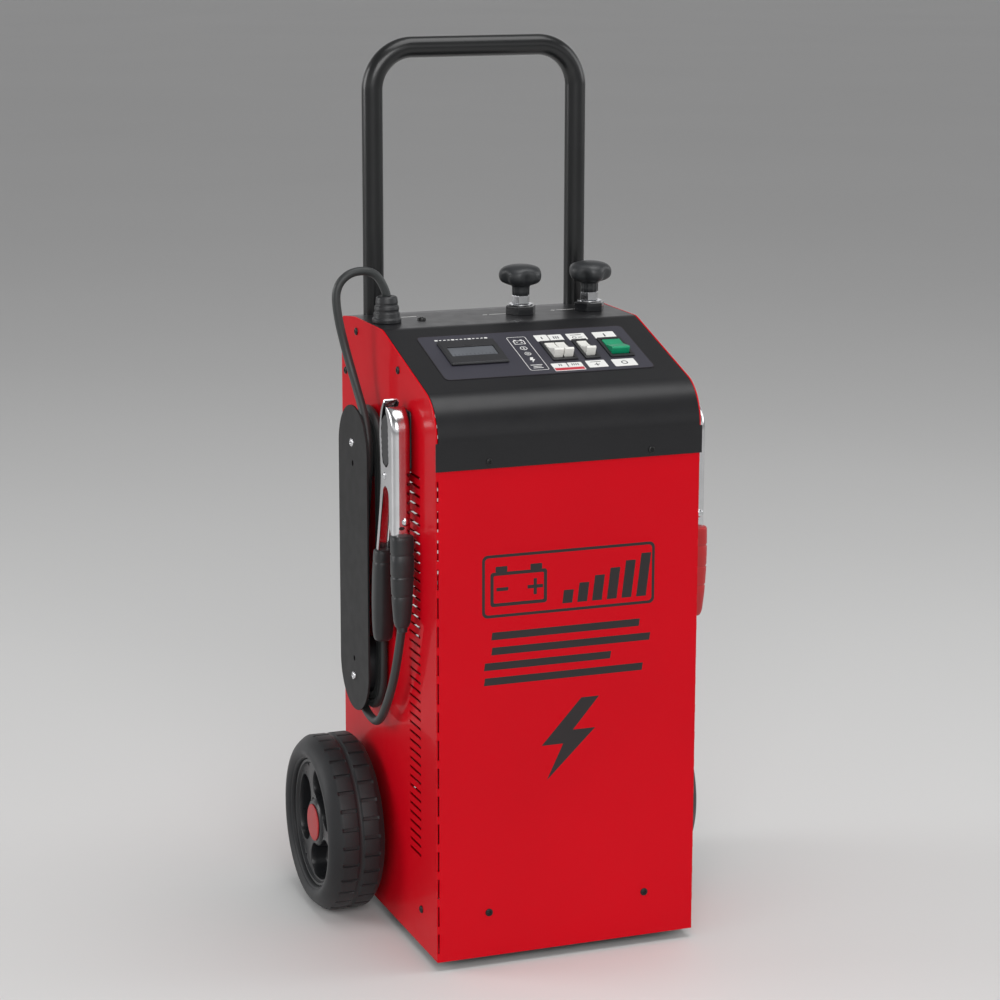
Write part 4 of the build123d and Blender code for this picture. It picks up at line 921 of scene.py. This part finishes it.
refined("mains_gland", 0.4, BLACK, segs=2, angle=25)


# ------------------------------------------------------------------ screws
def screw(bm, centre, normal, r, h, seg=48, slot_r=0.56, slot_w=0.17):
    nrm = Vector(normal).normalized()
    side = nrm.orthogonal().normalized()
    up = nrm.cross(side)
    c = v3(*centre)

    def ring(radius, d):
        return [bm.verts.new(c + nrm * (d * MM) + (side * math.cos(2 * math.pi * k / seg) + up * math.sin(2 * math.pi * k / seg)) * (radius * MM)) for k in range(seg)]

    def cross_ring(scale, d):
        out = []
        for k in range(seg):
            t = 2 * math.pi * k / seg
            a, b = abs(math.cos(t)), abs(math.sin(t))
            L_, w_ = r * slot_r * scale, r * slot_w * scale
            r1 = min(L_ / max(a, 1e-6), w_ / max(b, 1e-6))
            r2 = min(L_ / max(b, 1e-6), w_ / max(a, 1e-6))
            rr = max(r1, r2)
            out.append(bm.verts.new(c + nrm * (d * MM) + (side * math.cos(t) + up * math.sin(t)) * (rr * MM)))
        return out
    rings = [ring(r, 0), ring(r, 0.35 * h), ring(0.95 * r, 0.62 * h), ring(0.85 * r, 0.84 * h), ring(0.72 * r, 0.97 * h), ring(0.64 * r, h),
             cross_ring(1.0, h), cross_ring(0.8, 0.35 * h)]
    for a, b in zip(rings, rings[1:]):
        for i in range(seg):
            j = (i + 1) % seg
            bm.faces.new((a[i], a[j], b[j], b[i]))
    for rg, d in ((rings[0], 0), (rings[-1], 0.35 * h)):
        mid = bm.verts.new(c + nrm * (d * MM))
        for i in range(seg):
            bm.faces.new((rg[i], rg[(i + 1) % seg], mid))


bm = bmesh.new()
for yf, z in ((258, 626), (297, 577), (118, 607), (50.4, 41.4)):
    for s in (-1, 1):
        screw(bm, (s * 145.0, YF + yf, z), (s, 0, 0), 4.1, 1.95)
for x in (-88, 88):
    screw(bm, (x, YF, 48.4), (0, -1, 0), 4.1, 1.5)
for x in (-89, 89):
    screw(bm, (x, YF - 1.6, 530), (0, -1, 0), 3.6, 1.45)
for x in (-128, 128):
    for z in (120, 350, 600):
        screw(bm, (x, YF + 313.5, z), (0, 1, 0), 4.1, 1.95)
screw(bm, (-84, YF + 220, 641.0), (0, 0, 1), 4.6, 2.65)
from_bm("cabinet_screws", bm, "cabinet", SCREW, ("case_screws",), sharp=40)

bm = bmesh.new()
for s in (-1, 1):
    for z in (517, 259.5):
        screw(bm, (s * 169.4, 37.55, z), (s, 0, 0), 4.6, 2.45)
from_bm("tidy_screw_heads", bm, "cabinet", CHROME, ("tidy_screws",), sharp=40)

# ------------------------------------------------------------------ lead tidies
refined("tidy_plates", 0.4, PLATE, segs=2)
refined("tidy_bobbins", 0.8, BLACK, segs=2)
refined("clamp_lugs", 0.8, BLACK, segs=2, angle=20)

# ------------------------------------------------------------------ battery clamps
FRONT_PAIRS = [((63.5, 430), (72, 430)), ((63.5, 438), (72, 438)), ((63.5, 446), (72, 446)), ((63, 452), (76, 452.5)), ((63, 458), (77.0, 458)),
               ((63, 470), (77.3, 471)), ((63, 480), (77.5, 481)), ((63, 485), (78.5, 487)), ((63, 489), (83, 491.5)), ((63, 493), (92, 493.6)),
               ((63, 496.5), (97.5, 496.8)), ((63, 500), (100.2, 500)), ((63, 503), (100.6, 503)), ((63, 506), (99.6, 506.4)), ((63, 509), (95.5, 509.8)),
               ((63, 512), (87, 511.8)), ((63, 515), (81, 514.6)), ((63, 519), (77.6, 518.6)), ((63, 524), (77.4, 524)), ((63, 527), (78.6, 527)),
               ((63, 530), (77.5, 530)), ((63, 533), (78.7, 533)), ((63, 536), (77.7, 536)), ((63, 539), (78.9, 539)), ((63, 542), (77.9, 542)),
               ((63, 545), (79.1, 545)), ((63, 548), (78.1, 548)), ((63, 551), (79.2, 552)), ((63.2, 555), (78.6, 556)), ((64.2, 559), (79.8, 561)),
               ((66, 563.5), (81.4, 564.6)), ((68.6, 567.4), (83.4, 567.4)), ((72, 571), (85.2, 569.6)), ((76, 573.8), (86, 571.2)),
               ((80.4, 575.5), (86.2, 572.9)), ((84, 576.1), (86.2, 575.2))]
REAR_PAIRS = [((128, 400), (119, 400)), ((129, 410), (118.6, 409)), ((129, 420), (118, 420)), ((126.2, 431), (114.8, 431)), ((122.6, 445), (111.4, 445)),
              ((119.4, 458), (108.3, 458)), ((117, 468), (105.6, 467)), ((115.2, 478), (103, 478)), ((113.9, 486), (100.4, 487)),
              ((113.2, 491), (95, 491.6)), ((112.7, 495), (88.5, 495)), ((112.6, 499), (84.2, 499)), ((112.7, 503), (83.6, 502.6)), ((112.9, 507), (84.8, 507)),
              ((113.2, 511), (91, 511.2)), ((113.5, 515), (101.0, 514.2)), ((113.8, 519), (102.8, 519)), ((114.1, 523), (104.4, 523)), ((114.4, 526), (103.2, 526)),
              ((114.7, 529), (104.9, 529)), ((115, 532), (103.9, 532)), ((115.3, 535), (105.6, 535)), ((115.6, 538), (104.6, 538)), ((115.8, 541), (106.4, 541)),
              ((116, 546), (105.6, 546)), ((115.5, 551), (106.4, 550)), ((114.9, 556), (104.8, 555)), ((113.6, 562), (105.2, 560)), ((112, 568), (103.4, 564.4)),
              ((109.5, 572.6), (102.0, 568.4)), ((106.2, 576.4), (100.2, 571.8)), ((102.6, 579.2), (98.4, 575.0)), ((99.6, 581), (97.0, 578.2))]


def jaw(name, pairs, half, corner, thick, cx, body, node):
    """a stamped channel: a web with two flanges and rounded bends, of sheet thick mm"""
    bm = bmesh.new()

    def section(o, e):
        o, e = Vector((0, YF + o[0], o[1])), Vector((0, YF + e[0], e[1]))
        d = e - o
        depth = d.length
        d.normalize()
        out, inn = [], []
        c = min(corner, depth * 0.6, half - 0.5)
        steps = 6
        # from the left flange's free edge, over the web, to the right flange's free edge
        pts = [(-half, depth), (-half, depth - 0.3), (-half, (depth + c) / 2), (-half, c)]
        for k in range(1, steps):
            a = math.pi / 2 * k / steps
            pts.append((-half + c - c * math.cos(a), c - c * math.sin(a)))
        pts += [(-half + c, 0), (-half * 0.33, 0), (half * 0.33, 0), (half - c, 0)]
        for k in range(1, steps):
            a = math.pi / 2 * k / steps
            pts.append((half - c + c * math.sin(a), c - c * math.cos(a)))
        pts += [(half, c), (half, (depth + c) / 2), (half, depth - 0.3), (half, depth)]
        for x, q in pts:
            out.append(v3(cx + x, o.y + d.y * q, o.z + d.z * q))
        hi, ci = half - thick, max(c - thick, 0.3)
        di = min(thick, depth * 0.5)
        pts = [(-hi, depth), (-hi, depth - 0.3), (-hi, (depth + c) / 2), (-hi, max(ci, 0) + di)]
        for k in range(1, steps):
            a = math.pi / 2 * k / steps
            pts.append((-hi + ci - ci * math.cos(a), di + ci - ci * math.sin(a)))
        pts += [(-hi + ci, di), (-hi * 0.33, di), (hi * 0.33, di), (hi - ci, di)]
        for k in range(1, steps):
            a = math.pi / 2 * k / steps
            pts.append((hi - ci + ci * math.sin(a), di + ci - ci * math.cos(a)))
        pts += [(hi, ci + di), (hi, (depth + c) / 2), (hi, depth - 0.3), (hi, depth)]
        for x, q in pts:
            q = min(q, depth)
            inn.append(v3(cx + x, o.y + d.y * q, o.z + d.z * q))
        return out + list(reversed(inn))
    loft(bm, [section(o, e) for o, e in pairs], cap=False)
    bm.verts.ensure_lookup_table()
    n = len(section(*pairs[0]))
    m = n // 2
    for start in (0, (len(pairs) - 1) * n):
        vs = [bm.verts[start + k] for k in range(n)]
        for k in range(m - 1):
            bm.faces.new((vs[k], vs[k + 1], vs[n - 2 - k], vs[n - 1 - k]))
    return from_bm(name, bm, body, CHROME, (node,), sharp=42)


def grip(name, stations, cx, body, mat, node, squareness=2.6, seg=40):
    """stations: (z, y_from, y_to, half width, scale) lofted as soft rounded sections"""
    bm = bmesh.new()
    rings = []
    for z, y0, y1, hw, sc in stations:
        cy, hy = YF + (y0 + y1) / 2, (y1 - y0) / 2
        ring = []
        for k in range(seg):
            t = 2 * math.pi * k / seg
            ct, st = math.cos(t), math.sin(t)
            px = math.copysign(abs(ct) ** (2 / squareness), ct) * hw * sc
            py = math.copysign(abs(st) ** (2 / squareness), st) * hy * sc
            ring.append(v3(cx + px, cy + py, z))
        rings.append(ring)
    loft(bm, rings, cap=True)
    return from_bm(name, bm, body, mat, (node,), sharp=55)


def lerp_stations(keys, extras):
    """keys: (z, y0, y1, hw) sorted downwards; extras: (z, scale) rings added between them"""
    zs = sorted({k[0] for k in keys} | {z for z, _ in extras}, reverse=True)
    sc = dict(extras)
    out = []
    for z in zs:
        for a, b in zip(keys, keys[1:]):
            if b[0] <= z <= a[0]:
                f = (a[0] - z) / (a[0] - b[0])
                f2 = f
                out.append((z, *[a[i] + (b[i] - a[i]) * f2 for i in (1, 2, 3)], sc.get(z, 1.0)))
                break
    return out


def groove(z, w=1.6, depth=0.93):
    return [(z + w, 1.0), (z + w * 0.45, depth + 0.02), (z, depth), (z - w * 0.45, depth + 0.02), (z - w, 1.0)]


FRONT_KEYS = [(444.8, 57.5, 74.0, 9.8), (444.4, 56.0, 75.2, 11.2), (443.0, 55.2, 75.9, 11.9), (440, 55.0, 76.0, 12.0), (428, 54.6, 75.8, 12.0),
              (415, 54.5, 75.5, 12.0), (400, 55.0, 75.3, 11.8), (385, 55.8, 75.0, 11.2), (372, 56.6, 74.6, 10.4), (362, 57.8, 74.2, 9.6), (354, 58.8, 74.0, 8.8),
              (350, 59.7, 73.8, 8.0), (347.6, 60.8, 73.4, 7.0), (346.4, 62.0, 72.6, 5.8)]
REAR_KEYS = [(417.0, 117.0, 131.0, 9.0), (416.4, 115.4, 132.6, 10.4), (414.6, 114.6, 133.6, 11.0), (400, 114.5, 135.5, 11.6), (385, 115.0, 137.0, 12.0),
             (362, 116.8, 138.2, 12.0), (340, 118.6, 139.0, 11.5), (328, 120.4, 138.8, 10.8), (320.5, 121.8, 138.4, 9.8), (317.5, 123.2, 137.6, 8.6),
             (316.3, 125.0, 136.0, 6.8)]

for tag, cx, DROP in (("black", -159.65, 0.0), ("red", 171.0, 17.0)):
    lever = f"clamp_{tag}_lever"
    gm, gs = (GRIP, "black_grip_vinyl") if tag == "black" else (REDGRIP, "red_grip_vinyl")
    jaw(f"{tag}_clamp_front_channel", FRONT_PAIRS, 10.0, 6.4, 1.3, cx, "cabinet", f"clamp_{tag}_jaw_front")
    jaw(f"{tag}_clamp_rear_channel", REAR_PAIRS, 8.3, 5.0, 1.3, cx, lever, f"clamp_{tag}_jaw_rear")
    ex = groove(425) + groove(402) + groove(381)
    grip(f"{tag}_clamp_front_sleeve", lerp_stations(FRONT_KEYS, ex), cx, "cabinet", gm, f"clamp_{tag}_grip_front")
    ex = groove(404, 1.4, 0.95)
    grip(f"{tag}_clamp_rear_sleeve", lerp_stations(REAR_KEYS, ex), cx, lever, gm, f"clamp_{tag}_grip_rear")
    # pivot pin with two domed heads
    bm = bmesh.new()
    PY, PZ = YF + 91.6, 502.6
    lathe(bm, [(-11.5, 0.6), (-11.4, 2.2), (-11.0, 3.4), (-10.4, 4.1), (-10.05, 4.2), (-10.02, 2.5), (10.02, 2.5), (10.05, 4.2), (10.4, 4.1), (11.0, 3.4),
               (11.4, 2.2), (11.5, 0.6)], (cx, PY, PZ), (1, 0, 0), 40, close_start=True, close_end=True)
    from_bm(f"{tag}_clamp_pin", bm, "cabinet", CHROME_TURNED, (f"clamp_{tag}_pivot_pin",), sharp=50)
    # torsion spring: coils round the pin and a leg up each channel
    bm = bmesh.new()
    pts = [Vector((cx - 5.6, YF + 66.4, 478.0)), Vector((cx - 5.7, YF + 74.0, 487.5)), Vector((cx - 5.8, PY - 5.6, PZ - 4.4))]
    turns, per = 5, 20
    for k in range(turns * per + 1):
        a = math.radians(200) + 2 * math.pi * k / per
        pts.append(Vector((cx - 5.8 + 11.6 * k / (turns * per), PY + 5.3 * math.cos(a), PZ + 5.3 * math.sin(a))))
    pts += [Vector((cx + 5.85, PY + 3.0, PZ - 9.5)), Vector((cx + 5.8, YF + 104.0, 484.0))]
    tube(bm, pts, 0.9, 10)
    from_bm(f"{tag}_clamp_coil_spring", bm, "cabinet", ZINC, (f"clamp_{tag}_spring",), sharp=60)
    # rivet on the front face, and a flat black oval below it: painted shade where a crimp dimple would be
    bm = bmesh.new()
    lathe(bm, [(0.2, 4.3), (-0.5, 4.2), (-1.2, 3.5), (-1.7, 2.3), (-1.95, 1.0), (-2.0, 0.3)], (cx + 3.4, YF + 63.1, 459), (0, 1, 0), 36, close_end=True)
    from_bm(f"{tag}_clamp_rivet", bm, "cabinet", CHROME_TURNED, sharp=50)
    bm = bmesh.new()
    # flat black oval, no dent in the sheet: painted shade of a dimple
    oval = [(cx - 0.9 + 3.2 * math.cos(2 * math.pi * k / 28), 452.4 + 1.9 * math.sin(2 * math.pi * k / 28)) for k in range(28)]
    slab(bm, oval, lambda x, z, h: v3(x, YF + 63.0 - h, z), -0.05, 0.06)
    from_bm(f"{tag}_clamp_dimple_painted_shade", bm, "cabinet", INK_BLACK)

DROP = 0.0

# tapered sleeve where the lead goes into the clamp's grip
bm = bmesh.new()
lathe(bm, round_profile([(10.0, 6.4), (1.0, 6.3), (-2.0, 5.9), (-6.0, 5.2), (-8.0, 4.8), (-8.2, 4.3)], 1.0, 3), (-159.65, YF + 67.2, 349.0), (0, 0.30, 0.954), 32,
      close_start=True, close_end=True)
sleeve = from_bm("clamp_lead_sleeve", bm, "cabinet", GRIP, sharp=50)

# ------------------------------------------------------------------ inside the cabinet and the rest of the CAD nodes
for node, m in (("handle_clamps", ZINC), ("axle_brackets", ZINC), ("transformer_core", CORE), ("transformer_windings", COPPER),
                ("rectifier_heatsink", ALU), ("rectifier_diodes", DIODE), ("control_board", BOARD)):
    N[node].data.materials.clear()
    N[node].data.materials.append(m)

dg = bpy.context.evaluated_depsgraph_get()
bare = lead_curve.copy()
bare.bevel_depth = 0
bare_obj = bpy.data.objects.new("lead_line", bare)
line = bpy.data.meshes.new_from_object(bare_obj)
co = [v.co.copy() for v in line.vertices]
measured = sum((b - a).length for a, b in zip(co, co[1:]))
print("lead centreline", round(measured, 4), "m")
bpy.data.objects.remove(bare_obj)
bpy.data.meshes.remove(line)
